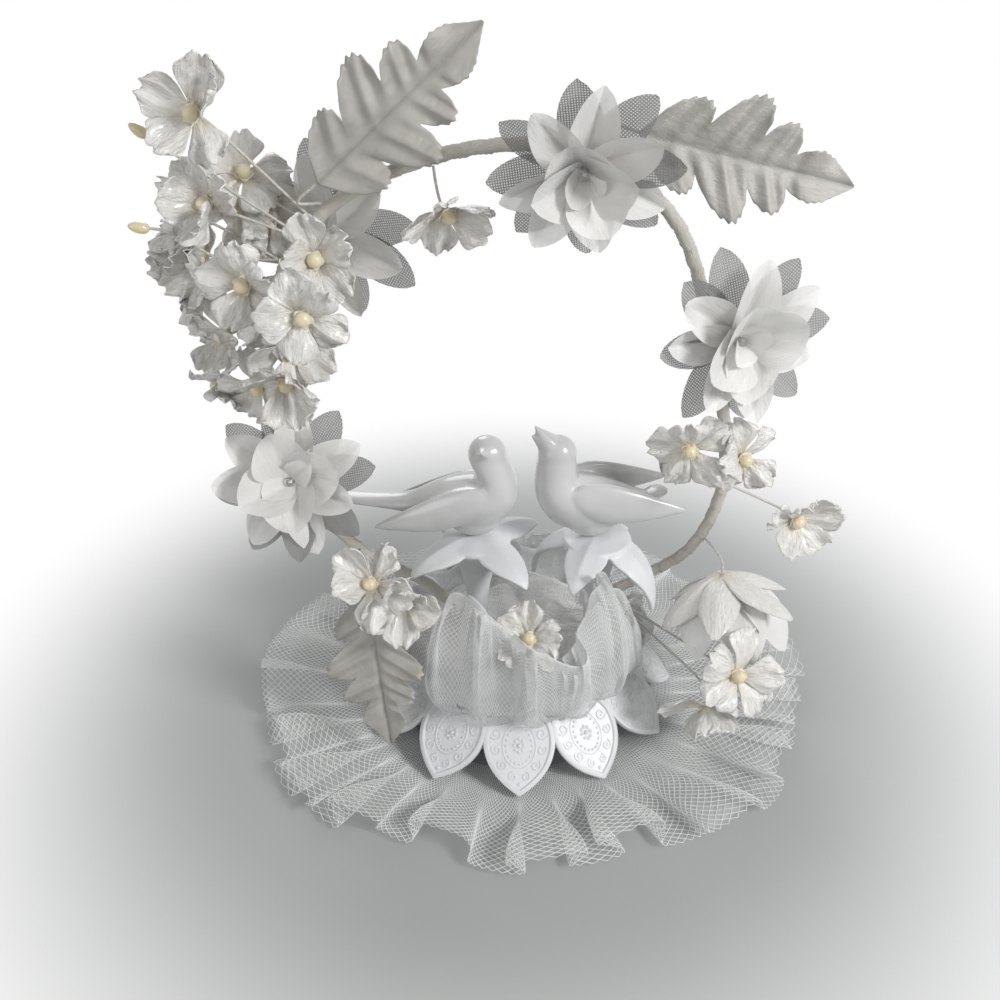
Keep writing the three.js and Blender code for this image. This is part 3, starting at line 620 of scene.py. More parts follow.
# %% Tubes
def swept(name, lines, radius, rounding):
    """Capped round tubes along lines of points, as one mesh."""
    curve = bpy.data.curves.new(name, "CURVE")
    curve.dimensions = "3D"
    curve.bevel_depth = radius
    curve.bevel_resolution = rounding
    curve.use_fill_caps = True
    for line in lines:
        run = curve.splines.new("POLY")
        run.points.add(len(line) - 1)
        run.points.foreach_set("co", np.column_stack([line, np.ones(len(line))]).ravel())
    piece = bpy.data.objects.new(name, curve)
    bpy.context.scene.collection.objects.link(piece)
    pick(piece)
    bpy.ops.object.convert(target="MESH")
    return made(name)


def tube(name, line, radius, rounding=1):
    return outward(swept(name, [line], radius, rounding))


def unit(rows):
    return rows / np.maximum(np.linalg.norm(rows, axis=1)[:, None], 1e-9)


# %% Tape's winding
TAPE_RADIUS, TAPE_PITCH, BARE_FOOT = 2.1 * MM, 7 * MM, 17.5 * MM
wound = (arch_run > BARE_FOOT) & (arch_run < arch_run[-1] - BARE_FOOT)
tape = tube("wreath_tape", arch[wound][::2], TAPE_RADIUS, rounding=5)
points = points_of(tape)
core = arch[wound][::4]
nearest = np.argmin(((points[:, None, :] - core[None, :, :]) ** 2).sum(2), axis=1)
middle = core[nearest]
ray = points - middle
along = unit(np.gradient(core, axis=0)[nearest])
side = unit(np.cross(along, (0, 1, 0.001)))
turn = np.arctan2((ray * np.cross(along, side)).sum(1), (ray * side).sum(1)) / (2 * math.pi)
run = arch_run[wound][::4][nearest] / TAPE_PITCH + turn
print("turns of tape:", round(np.ptp(run)))

# %% Tape
step = run - np.floor(run)
wrinkle = 0.07 * np.sin(run * 23) + 0.05 * np.sin(run * 57 + 3 * turn)
swell = TAPE_RADIUS * (0.93 + 0.16 * step + wrinkle * 0.6)
inside = np.linalg.norm(ray, axis=1) < 0.5 * TAPE_RADIUS
move_points(tape, np.where(inside[:, None], points, middle + unit(ray) * swell[:, None]))
lay_uv(tape, np.column_stack([run, turn * 1.4]))
smooth(coat(tape, crepe))
dress(tape, "tape", "arch_tape")
coat(frame["nodes"]["arch_wire"], steel)
coat(frame["nodes"]["foam_block"], cells)
print("tape:", len(tape.data.polygons), "faces")

# %% [markdown]
# ## Moulded base
# The base is a dish with a ring of shield-shaped flaps, moulded in one go with a raised border
# and low ornament on each flap. The dish is built as a potter would think of it: a circle is
# extruded and resized from ring to ring up the profile. One flap is then modelled flat, and
# copied round the dish.

# %% Turned shapes
def turned(name, profile, segments):
    """A closed body round +Z; the profile of (radius, height) in mm runs from axis to axis."""
    radius, height = profile[0]
    start()
    bpy.ops.mesh.primitive_circle_add(
        vertices=segments, radius=radius * MM, location=mm(0, 0, height)
    )
    piece = made(name)
    bpy.ops.object.transform_apply(location=True, rotation=False, scale=False)
    edit_all(piece)
    bpy.ops.mesh.extrude_region_move()
    bpy.ops.mesh.merge(type="CENTER")
    leave_edit()
    points = points_of(piece) / MM
    edit_points(piece, np.hypot(points[:, 0], points[:, 1]) > radius - 0.01)
    for wide, high in profile[1:]:
        rise = {"value": (0, 0, (high - height) * MM)}
        bpy.ops.mesh.extrude_region_move(TRANSFORM_OT_translate=rise)
        bpy.ops.transform.resize(value=(wide / radius, wide / radius, 1))
        radius, height = wide, high
    bpy.ops.mesh.extrude_region_move()
    bpy.ops.mesh.merge(type="CENTER")
    leave_edit()
    return outward(piece)


# %% Dish
DISH_RADIUS, RIM_HEIGHT, RIM_TOP = 38, 22, 24.4
DISH_PROFILE = [
    (30, 0), (37.4, 0), (38, 0.6), (38, 19.2), (38.6, 20.6), (40.2, 21.4), (40.6, 22.6), (40, 24),
    (39, 24.4), (37, 24.4), (36.1, 23.8), (36, 22), (36, 3), (35, 2), (20, 2),
]
dish = turned("dish", DISH_PROFILE, 96)
print("dish:", len(dish.data.polygons), "faces")

# %% [markdown]
# A flap starts as a filled circle whose points are pulled onto the shield's outline. Extruding
# gives its thickness, and insets leave the raised border round a sunk field. The ornament is
# of a plain, traditional kind: a beaded oval round a rosette, with scrolls in the corners. Beads
# and thin bent tubes are set half into the field.

# %% Flap outline
FLAP_LENGTH, FLAP_WIDTH, FLAP_NECK, FLAP_THICKNESS = 29, 25, 15, 1.6


def bend2(a, b, c, count):
    """Points on a quadratic curve from a by b to c, without the last."""
    t = np.linspace(0, 1, count, endpoint=False)[:, None]
    a, b, c = (np.array(p, float) for p in (a, b, c))
    return (1 - t) ** 2 * a + 2 * t * (1 - t) * b + t**2 * c


half, neck, shoulder = FLAP_WIDTH / 2, FLAP_NECK / 2, FLAP_LENGTH * 0.36
cheek = FLAP_LENGTH * 0.74
outline = np.vstack([
    bend2((-neck, 0), (0, -1.2), (neck, 0), 10),
    bend2((neck, 0), (half, shoulder * 0.35), (half, shoulder), 10),
    bend2((half, shoulder), (half, cheek), (0, FLAP_LENGTH), 16),
    bend2((0, FLAP_LENGTH), (-half, cheek), (-half, shoulder), 16),
    bend2((-half, shoulder), (-half, shoulder * 0.35), (-neck, 0), 10),
])
print("flap outline:", len(outline), "points")

# %% Flap plate
ROUNDED, SUNK = 0.3, 0.7
FIELD = FLAP_THICKNESS - SUNK
start()
bpy.ops.mesh.primitive_circle_add(vertices=len(outline), radius=10 * MM, fill_type="NGON")
plate = made("flap_plate")
move_points(plate, np.column_stack([outline, np.zeros(len(outline))]) * MM)
edit_all(plate)
rise = {"value": (0, 0, (FLAP_THICKNESS - ROUNDED) * MM)}
bpy.ops.mesh.extrude_region_move(TRANSFORM_OT_translate=rise)
for inward, lift in ((0.4, ROUNDED), (1.1, 0), (0.5, -SUNK)):
    bpy.ops.mesh.inset(thickness=inward * MM, depth=lift * MM)
leave_edit()
outward(plate)
print("flap plate:", len(plate.data.polygons), "faces")

# %% Flap ornament
OVAL_AT = 12
# place and size in mm, and the way that the tail points in radians
SCROLLS = (
    (8, 8, 2.1, 0.4), (7.9, 13.4, 1.8, -0.7), (5.7, 18.6, 1.9, -0.9),
    (2.2, 22.4, 1.6, -1.4), (3.2, 2.9, 1.5, 1.2), (6.4, 4, 1.3, 0.3),
)


def bead(x, y, radius, flat):
    piece = ball("bead", radius, 8, 5)
    move_points(piece, points_of(piece) * (1, 1, flat) + np.array(mm(x, y, FIELD)))
    return piece


def relief_line(x, y, radius):
    """A thin tube half sunk into the field."""
    return tube("relief_line", np.column_stack([x, y, 0 * x + FIELD]) * MM, radius * MM)


def scroll(x, y, size, turn, hand):
    """Winds inwards from a tail, as on carved leaves."""
    t = np.linspace(0, 1, 22)
    reach = size * (1 - 0.82 * t)
    angle = turn + hand * t * 2.6 * math.pi
    return relief_line(x + reach * np.cos(angle), y + reach * np.sin(angle), 0.38)


# %% Flap
ornament = [bead(0, OVAL_AT, 0.9, 0.9), bead(0, 25, 0.8, 0.7)]
BEADED_OVAL, FLOWER = (20, 4.6, 6.2, 0.55, 0.7), (8, 1.7, 2.1, 0.75, 0.6)
for count, wide, high, radius, flat in (BEADED_OVAL, FLOWER):
    for turn in np.arange(count) * 2 * math.pi / count:
        ornament.append(bead(wide * math.cos(turn), OVAL_AT + high * math.sin(turn), radius, flat))
turn = np.linspace(0, 2 * math.pi, 33)
ornament.append(relief_line(5.8 * np.cos(turn), OVAL_AT + 7.6 * np.sin(turn), 0.3))
for hand in (-1, 1):
    for x, y, size, way in SCROLLS:
        ornament.append(scroll(hand * x, y, size, math.pi / 2 - hand * (math.pi / 2 - way), hand))
flap = joined([plate, *ornament], "flap")
print("flap:", len(flap.data.polygons), "faces")

# %% [markdown]
# The rim above the flaps carries a band of rosettes and beads. One rosette is modelled on the
# band's slope and copied round, like the flap.

# %% Rosette and bead
start()
bpy.ops.mesh.primitive_torus_add(
    major_radius=3.1 * MM, minor_radius=0.9 * MM, major_segments=20, minor_segments=6
)
rosette = joined([made("ring"), ball("eye", 1.7, 12, 8)], "rosette")
dot = ball("dot", 1.2, 8, 6)
print("rosette:", len(rosette.data.polygons), "faces")

# %% Base assembly
FLAPS, ROSETTES = 12, 24
FLAP_SLOPE, BAND_SLOPE = math.radians(43), 55
down = Vector((math.cos(FLAP_SLOPE), 0, -math.sin(FLAP_SLOPE)))
sideways = Vector((0, -1, 0))
hang = Matrix((sideways, down, sideways.cross(down))).transposed().to_4x4()
hang.translation = mm(DISH_RADIUS, 0, RIM_HEIGHT)
lean = Matrix.Translation(mm(40.2, 0, 22.9)) @ turn_of("Y", BAND_SLOPE)
parts = [dish]
for k in range(FLAPS):
    parts.append(copy_of(flap, "flap", turn_of("Z", 360 * k / FLAPS) @ hang))
for k in range(ROSETTES):
    parts.append(copy_of(rosette, "rosette", turn_of("Z", 360 * k / ROSETTES) @ lean))
    parts.append(copy_of(dot, "dot", turn_of("Z", 360 * (k + 0.5) / ROSETTES) @ lean))
discard(flap, rosette, dot)
base = joined(parts, "base_moulding")
pick(base)
bpy.ops.object.shade_smooth_by_angle(angle=math.radians(40))
coat(base, moulded)
dress(base, "white_plastic", "base_dish")
print("base:", len(base.data.polygons), "faces")

# %% [markdown]
# ## Tulle
# Tulle is a net of fine threads, gathered into ruffles. A see-through sheet would lose its open
# meshes in a close view, so each thread is real here: two families of thin curves cross in
# diamonds over the ruffle's form, and the curves' bevel gives them their thickness. The form
# itself follows the solid: flat under the flaps, then rising and falling out to the cut edge.
# The large nets are made in two halves, so that no piece gets too heavy.

# %% Net
COARSE_THREAD, FINE_THREAD = 0.13, 0.07
WIDE_MESH, TIGHT_MESH = 0.5, 0.8


def net_of(name, form, columns, rows, thread, slant):
    """Threads in both slants over a form; form(u, v) gives points in mm, v from foot to edge."""
    steps = np.arange(rows + 1)
    lines = []
    for column in columns:
        for lean in (slant, -slant):
            lines.append(form(column + lean * steps, steps / rows) * MM)
    piece = swept(name, lines, thread * MM, 0)
    modify(piece, "WELD", merge_threshold=0.001 * MM)
    return coat(piece, net)


def halves(columns):
    return ("front", range(columns // 2, columns)), ("back", range(columns // 2))


def declare_net(piece, cut, *under):
    """The cut is a strip, in mm; half of the threads' skin is one face of the cloth."""
    width, length = cut
    skin = area_of(piece) / 2
    covered = skin / (width * length * MM**2)
    print(piece.name, len(piece.data.polygons), "faces,", round(covered, 2), "covered")


# %% Round forms
def smoothstep(x):
    x = np.clip(x, 0, 1)
    return x * x * (3 - 2 * x)


def round_z(radius, angle, height):
    return np.column_stack([radius * np.cos(angle), radius * np.sin(angle), height])


# %% Skirt
SKIRT_COLUMNS, SKIRT_ROWS, SKIRT_FOLDS = 400, 44, 19
SKIRT_INSIDE, FLAP_REACH = 45, 59
HALF_SKIRT_CUT = (56, 430)


def skirt_form(column, v):
    """Ruffles: the cloth rises and falls round the edge, and bulges out at each crest and trough."""
    turn = 2 * math.pi * column / SKIRT_COLUMNS
    wander = 0.35 * np.sin(3 * turn + 1) + 0.2 * np.sin(5 * turn)
    phase = SKIRT_FOLDS * turn + 4 * wander
    wave = 0.5 - 0.5 * np.cos(phase)
    edge = 97 + 9 * np.cos(2 * turn) + 5 * np.cos(turn) + 3 * np.sin(7 * turn)
    edge -= 4 * wave * np.sin(4 * turn) ** 2
    r = SKIRT_INSIDE + (edge - SKIRT_INSIDE) * v
    share = smoothstep((r - FLAP_REACH + 6) / (edge - FLAP_REACH + 6))
    slide = (5.5 + 1.8 * np.sin(5 * turn + 2)) * share * np.sin(2 * phase)
    slide -= 2.5 * share * np.sin(phase - 0.6)
    pucker = 0.7 * share * np.sin(3 * phase + 9 * v)
    z = 0.6 + share * (7.5 * wave + 1.2) + np.maximum(pucker, -0.5)
    return round_z(r, turn + slide / r, np.maximum(z, 0.45))


for half, columns in halves(SKIRT_COLUMNS):
    name = "tulle_skirt_" + half
    skirt = net_of(name, skirt_form, columns, SKIRT_ROWS, COARSE_THREAD, WIDE_MESH)
    dress(skirt, "tulle", "tulle_skirt")
    declare_net(skirt, HALF_SKIRT_CUT, "base_dish")

# %% [markdown]
# The puff is a second strip, gathered round the rim in front of the birds. It goes up, folds over
# and comes down inside, so its top is a soft fold and not a cut edge. Two crests of it stand up
# beside the middle and lean in towards the perches. A smaller one inside it makes it milky, and
# more net fills the dish and hides the foam.

# %% Puff's form
PUFF_COLUMNS, PUFF_ROWS, PUFF_FOLDS = 300, 60, 17
HALF_PUFF_CUT = (82, 165)


def crest(from_front, at, width):
    return np.exp(-(((from_front - math.radians(at)) / math.radians(width)) ** 2))


def puff_form(column, v, layer):
    """Layer 0 is the outer puff and 1 the inner one."""
    turn = 2 * math.pi * column / PUFF_COLUMNS
    from_front = np.arctan2(np.cos(turn), -np.sin(turn))
    toward = np.cos(from_front)
    left, right = crest(from_front, -33, 24), crest(from_front, 50, 18)
    rise = 4 + 24 * np.maximum(0, toward) ** 2 + 12 * np.maximum(0, -toward) ** 2
    rise = (rise + 23 * left + 32 * right) * (1 - 0.16 * layer)
    rise += 2.2 * np.sin(7 * turn + 2 * layer) + 1.5 * np.sin(12 * turn)
    up = np.sin(math.pi * v) ** 0.8
    over = (1 - np.cos(math.pi * v)) / 2
    hem = 1 - smoothstep(v / 0.2)
    phase = PUFF_FOLDS * turn + 2.1 * layer
    fold = (2.3 + 0.9 * np.sin(3 * turn)) * up * np.cos(phase + 1.5 * over)
    slide = -2.4 * up * np.sin(phase) - 1.2 * up * np.sin(2.6 * phase + 3 * over)
    belly = (12 - 4 * layer) * np.sin(up * math.pi * 0.64)
    drift = 1.8 * np.sin(5 * turn + 3 * v) + 1.3 * np.sin(8 * turn - 4 * v + 1)
    r = DISH_RADIUS + belly + fold + drift * up - (6 - layer) * over
    r += (5.5 - 2 * layer + np.cos(phase)) * hem - (8.5 - layer) * (left + right) * up**2
    z = RIM_TOP + 0.5 + np.maximum(rise, 2) * up**1.25 + 0.9 * up * np.sin(2.7 * phase)
    z -= (4.2 - layer + np.sin(phase)) * hem
    return round_z(r, turn + slide / r, z)


# %% Puff
for layer, depth in enumerate(("outer", "inner")):
    for half, columns in halves(PUFF_COLUMNS):
        name = f"tulle_puff_{depth}_{half}"
        form = partial(puff_form, layer=layer)
        puff = net_of(name, form, columns, PUFF_ROWS, FINE_THREAD, TIGHT_MESH)
        dress(puff, "tulle", "tulle_puff")
        declare_net(puff, HALF_PUFF_CUT, "base_dish")

# %% [markdown]
# Under each net lies a second, much finer one. Its threads are too thin to build, so it is one
# sheet of faces with a low opacity: its UV map is the flat strip in centimetres.

# %% Fine net
FINE_ROWS = 30
VEIL_CUT, LINING_CUT = (34, 240), (52, 600)


def fine_net(name, form, columns, cut, finish, stands_for):
    """A sheet over a form, as net_of takes it; the cut is a strip, in mm."""
    width, length = cut
    piece, u, v = grid(name, columns, FINE_ROWS)
    v = (v + 1) / 2
    move_points(piece, np.column_stack([u * length, v * width, 0 * u]) * MM)
    keep_cut(piece)
    move_points(piece, form(u * columns, v) * MM)
    coat(smooth(piece), finish)
    dress(piece, "tulle", stands_for)
    print(name, round(area_of(piece) / (width * length * MM**2), 2), "of its flat cut")


def veil_form(column, v):
    """The outer side of the puff, between its two layers."""
    return puff_form(column, 0.03 + 0.42 * v, 0.5)


def lining_form(column, v):
    """A little below the skirt and inside its edge."""
    return skirt_form(column, v * 0.97) - np.array([0, 0, 0.25])


fine_net("tulle_veil", veil_form, PUFF_COLUMNS, VEIL_CUT, veil, "tulle_puff")
fine_net("tulle_lining", lining_form, SKIRT_COLUMNS, LINING_CUT, haze, "tulle_skirt")

# %% Filling
FILLING_COLUMNS, FILLING_ROWS = 120, 30
FILLING_CUT = (45, 230)


def filling_form(column, v):
    turn = 2 * math.pi * column / FILLING_COLUMNS
    r = 36.5 - 33 * v + 1.5 * np.sin(6 * turn + 5 * v) * np.sin(math.pi * v)
    crumple = 0.5 + 0.25 * np.sin(5 * turn + 7 * v) + 0.25 * np.sin(9 * turn - 6 * v + 1)
    z = FOAM_TOP + 0.5 + 9 * crumple * np.sin(math.pi * np.clip(v * 1.05, 0, 1)) ** 0.7
    return round_z(r, turn, z)


columns = range(FILLING_COLUMNS)
filling = net_of("tulle_filling", filling_form, columns, FILLING_ROWS, COARSE_THREAD, WIDE_MESH)
dress(filling, "tulle", "tulle_puff")
declare_net(filling, FILLING_CUT, "foam_block")

# %% [markdown]
# ## Perches and birds
# Both are hollow mouldings with soft edges. A body with a bent spine is easy to build from rings:
# a circle is extruded once for each ring, each ring is then set to its place and size along the
# spine, and a subdivision rounds it. Wings, head and tail are made apart, and a voxel remesh
# melts them into one skin, with the small fillets that a mould leaves.

# %% Bodies from rings
def lofted(name, rings, sides=12):
    """A closed body through rings of (centre, across, up, wide, high), lengths in mm."""
    start()
    bpy.ops.mesh.primitive_circle_add(vertices=sides, radius=1, fill_type="NGON")
    piece = made(name)
    edit_all(piece)
    for _ in rings[1:]:
        bpy.ops.mesh.extrude_region_move(TRANSFORM_OT_translate={"value": (0, 0, 1)})
    leave_edit()
    points = points_of(piece)
    ring = np.rint(points[:, 2]).astype(int)
    centre, across, up = (np.array([tuple(r[k]) for r in rings], float)[ring] for k in range(3))
    wide, high = (np.array([r[k] for r in rings], float)[ring][:, None] for k in (3, 4))
    move_points(piece, (centre + across * wide * points[:, :1] + up * high * points[:, 1:2]) * MM)
    outward(piece)
    return modify(piece, "SUBSURF", levels=2, render_levels=2)


def melted(parts, name, voxel, rounds):
    """One smooth skin over all the parts."""
    piece = joined(parts, name)
    modify(piece, "REMESH", mode="VOXEL", voxel_size=voxel * MM)
    modify(piece, "SMOOTH", factor=0.5, iterations=rounds)
    return smooth(outward(piece))


# %% Lily petals
LILY_AT = (0, 0.15, 0.35, 0.55, 0.75, 0.9, 1)
LILY_HALF = (4, 6.4, 7.4, 6, 3.6, 1.7, 0.4)


def lily_petal(reach, drop):
    """A pointed petal along +X that bows over towards its tip, creased along the middle."""
    petal, u, v = grid("lily_petal", 22, 10)
    y = np.interp(u, LILY_AT, LILY_HALF) * v
    bow = math.pi / 2 * (0.75 + drop / 100)
    x = reach * np.sin(u * bow) / math.sin(bow)
    z = -drop * u**2 - 0.05 * y**2 * (0.4 + u) + 2.4 * np.exp(-((y / 1.3) ** 2)) * u * (1 - u)
    move_points(petal, np.column_stack([x, y, z]) * MM)
    return modify(petal, "SOLIDIFY", thickness=1.7 * MM, offset=0)


# %% Perches
PERCH_TOP = 72
PERCH_X = {"left": -15, "right": 28}
# for each petal its turn in degrees, its reach and its drop
PERCH_PETALS = {
    "left": ((35, 27, 6), (-52, 28, 8), (-145, 27, 8), (125, 26, 6)),
    "right": ((66, 25, 20), (-36, 24, 23), (-112, 26, 9), (156, 24, 24)),
}
TRUMPET = [
    (0.8, 16), (2.3, 16.2), (3.2, 25), (3.4, 36), (4.4, 48), (6.4, 58),
    (9.6, 65.5), (12.5, 69), (12, 70.6), (6, 71.8), (2, 72),
]
for side, petals in PERCH_PETALS.items():
    parts = [turned("trumpet", TRUMPET, 24)]
    for turn, reach, drop in petals:
        petal = lily_petal(reach, drop)
        petal.data.transform(Matrix.Translation(mm(0, 0, PERCH_TOP - 0.9)) @ turn_of("Z", turn))
        parts.append(petal)
    perch = melted(parts, "lily_perch_" + side, voxel=0.42, rounds=4)
    perch.data.transform(Matrix.Translation(mm(PERCH_X[side], 0, 0)))
    coat(perch, moulded)
    dress(perch, "white_plastic", "perch_" + side)
    print("perch", side, len(perch.data.polygons), "faces")

# %% [markdown]
# The birds are drawn in a frame of their own, with the breast along +X, and then turned to face
# each other. The left one is stretched out with a long tail and looks at the viewer; the right
# one sits up with its beak open.

# %% Parts of a bird
ACROSS = Vector((0, 1, 0))
FULLER = 1.06
# share of the length, then half width, and for the wing also half height
BEAK_TAPER = ((0.15, 6), (0.38, 5.4), (0.56, 3.9), (0.72, 2.4), (0.87, 1.3), (1, 0.35))
WING_SHAPE = (
    (0, 1.2, 2.2), (0.07, 2.4, 5.4), (0.22, 3, 8.2), (0.42, 2.8, 8),
    (0.62, 2, 6), (0.83, 1.2, 3.2), (1, 0.5, 0.8),
)


def trunk_ring(x, z, wide, high, lean):
    """A ring across the body; subdividing shrinks it, so it is drawn a little fuller."""
    up = Vector((-math.sin(math.radians(lean)), 0, math.cos(math.radians(lean))))
    return (Vector((x, 0, z)), ACROSS, up, wide * FULLER, high * FULLER)


def beak_rings(centre, turn, rise, tip, thick):
    """A tapered half of the beak, pointing along the turned and raised +X."""
    aim = turn_of("Z", turn) @ turn_of("Y", -rise)
    along, up = aim @ Vector((1, 0, 0)), aim @ Vector((0, 0, 1))
    rings = []
    for far, size in BEAK_TAPER:
        wide = size * thick
        rings.append((along * far * tip + centre, up.cross(along), up, wide, wide * 0.85))
    return rings


def wing_rings(side, root, length, spread, lift):
    """Side is -1 or 1; the root is its (x, z) on the flank, and the spread is in degrees."""
    spread = math.radians(spread)
    along = Vector((-math.cos(spread), side * math.sin(spread), lift)).normalized()
    up = Vector((0.2, side * -0.2, 1)).normalized()
    thick = up.cross(along).normalized()
    flank = Vector((root[0], side * 7.6, root[1]))
    return [(flank + along * (length * far), thick, up, wide, high) for far, wide, high in WING_SHAPE]


def stretched_ball(name, radius, centre, stretch):
    piece = ball(name, radius, 24, 16)
    piece.data.transform(Matrix.Translation(mm(*centre)) @ Matrix.Diagonal((*stretch, 1)))
    return piece


# %% Bird
def trunk_of(lead, head, tail, tail_rise):
    """From the tail's tip over the breast to the crown."""
    breast = (9 + lead, 20)
    neck = ((breast[0] + head[0]) / 2, (breast[1] + head[1]) / 2)
    return lofted("trunk", [
        trunk_ring(-tail, 10 + tail_rise, 4.2, 0.9, 0),
        trunk_ring(-tail + 8, 10 + tail_rise * 0.8, 4.4, 1.5, 2),
        trunk_ring(lead - 25, 10 + tail_rise / 3, 3.9, 2.6, 6),
        trunk_ring(lead - 17, 11, 6.6, 6.6, 14),
        trunk_ring(lead - 6, 12, 9.6, 10.6, 22),
        trunk_ring(lead + 4, 14.4, 10, 10.6, 34),
        trunk_ring(*breast, 8.4, 8.2, 62),
        trunk_ring(*neck, 7.3, 7.2, 84),
        trunk_ring(head[0], head[1] - 1.5, 6.7, 6.7, 94),
        trunk_ring(head[0], head[1] + 4.4, 4.4, 4.4, 94),
    ])


def bird(name, perch_x, heading, lead, head, tail, tail_rise, wing, beak):
    """Lead is how far the breast stands in front of the feet."""
    centre = Vector((head[0], 0, head[1]))
    parts = [
        trunk_of(lead, head, tail, tail_rise),
        stretched_ball("skull", 6.5, centre, (1.03, 0.97, 1)),
        stretched_ball("belly", 8.4, (lead * 0.5 - 1, 0, 8.1), (1.25, 0.95, 0.96)),
    ]
    parts += [lofted("beak", beak_rings(centre, *half), 8) for half in beak]
    parts += [lofted("wing", wing_rings(side, *wing)) for side in (-1, 1)]
    piece = melted(parts, name, voxel=0.5, rounds=18)
    feet = Matrix.Translation(mm(perch_x, 0, PERCH_TOP + 0.3))
    piece.data.transform(feet @ turn_of("Z", heading))
    return coat(piece, pearly)


# %% Birds
# a wing has its root, length, spread and lift; a half of a beak its turn, rise, length and thickness
BIRDS = {
    "left": dict(
        name="bird_resting", heading=-8, lead=0, head=(4, 32.5), tail=51, tail_rise=1,
        wing=((6, 18), 44, 2, -0.32), beak=[(-95, 28, 10, 0.8)],
    ),
    "right": dict(
        name="bird_singing", heading=188, lead=7, head=(15.5, 33.5), tail=25, tail_rise=6,
        wing=((12, 19), 41, 6, -0.12), beak=[(0, 54, 14.2, 0.9), (0, 40, 12.4, 0.8)],
    ),
}
for side, shape in BIRDS.items():
    piece = bird(perch_x=PERCH_X[side], **shape)
    dress(piece, "white_plastic", "bird_" + side)
    print(piece.name, len(piece.data.polygons), "faces")

# %% [markdown]
# ## Where the flowers sit
# A flower's place is an offset from a point on the arch, given as a share of its length, and the
# way it faces. Its wire runs straight back from its head, then bends to the arch. These are the
# solids' own numbers, so that a flower made here lies where its solid lies. One blossom has its
# wire in the foam instead, and its offset starts there.

# %% Flower frames
PICK_STRAIGHT, TAPE_SKIN, STEM_RADIUS = 5 * MM, 2.5 * MM, 0.45 * MM
UPWARD = Vector((0, 0, 1))


def facing(face):
    """The turn that brings +Z to that direction."""
    return UPWARD.rotation_difference(face).to_matrix().to_4x4()


def flower_at(share, out, face, roll=0, foam=None):
    """The flower's frame, its hub and facing, and where its wire ends."""
    face = Vector(face).normalized()
    origin = mm(*foam, FOAM_TOP) if foam else arch_point(share)
    hub = origin + mm(*out)
    place = Matrix.Translation(hub) @ facing(face) @ turn_of("Z", roll)
    if foam:
        anchor = origin - mm(0, 0, 10)
    else:
        anchor = tape_anchor(share, hub - face * PICK_STRAIGHT, TAPE_SKIN)
    return place, hub, face, anchor


def pick_line(head, hub, face, anchor):
    behind = hub - face * PICK_STRAIGHT
    middle = (behind + anchor) / 2 - face * MM
    return spline([head, hub, behind, middle, anchor], samples=28)


def stem(line):
    return coat(tube("stem", line, STEM_RADIUS), wrapped)


# %% Blossom places
# share of the arch, offset in mm, facing, roll in degrees, and the place of a wire in the foam
BLOSSOMS = {
    "spray_top": (0.385, (-27, -14, 33), (-0.15, -0.9, 0.35), 0),
    "spray_upper": (0.38, (-20, 9, 13), (0.25, -0.8, 0.55), 20),
    "spray_outer": (0.352, (-28, 1, 14), (-0.75, -0.55, 0.3), 82),
    "spray_middle": (0.345, (-4, -28, 7), (-0.25, -0.95, 0.15), 10),
    "spray_inner": (0.37, (7, -18, 0), (0.2, -0.95, 0.2), 33),
    "spray_front": (0.33, (16, -37, 8), (0.15, -0.95, 0.1), 50),
    "spray_lower": (0.294, (10, -21, -1), (0.1, -0.9, -0.3), 15),
    "spray_edge": (0.315, (-20, 1, 6), (-0.85, -0.45, 0.1), 25),
    "arch_single": (0.464, (4, -5, -14), (0.35, -0.8, -0.4), 5),
    "right_pair": (0.758, (-14, -18, -2), (-0.2, -0.95, 0.1), 20),
    "right_loose": (0.81, (24, -10, -8), (0.2, -0.95, 0.1), 30),
    "right_low": (0.945, (38, -52, 4), (0.15, -0.85, 0.45), 12),
    "left_low": (0.11, (5, -40, 18), (-0.2, -0.8, 0.5), 44),
    "front_centre": (None, (0, -10, 25), (0, -0.7, 0.7), 8, (2.9, -23.9)),
}
print("blossom places:", len(BLOSSOMS))

# %% [markdown]
# ## Satin blossoms
# Each petal is stamped from satin: a narrow waist at the centre, a fan-shaped end, and flutes
# that a hot iron pressed in. A grid is cut to that outline row by row with the resize operator,
# its flat shape is kept as the UV map, and then it is fluted, cupped and given the cloth's
# thickness. Eight different petals are made once, and every blossom takes five of them.

# %% Petal blanks
def blank(name, length, widths, rows, columns):
    """A flat petal along +X. widths are half widths in mm from the hub to the tip."""
    petal, share, across = grid(name, rows, columns)
    for row in range(rows + 1):
        edit_points(petal, abs(share * rows - row) < 0.1)
        wide = float(np.interp(row / rows, np.linspace(0, 1, len(widths)), widths)) * MM
        bpy.ops.transform.resize(value=(1, wide, 1))
        leave_edit()
    edit_all(petal)
    bpy.ops.transform.resize(value=(length * MM / 2, 1, 1))
    bpy.ops.transform.translate(value=(length * MM / 2, 0, 0))
    leave_edit()
    return petal, share, across


# %% Satin petals
CLOTH = 0.3
BLOSSOM_RADIUS = 14.5
FAN = (1.3, 1.7, 2.5, 3.8, 5.2, 6.3, 6.8, 6.4, 4.6)


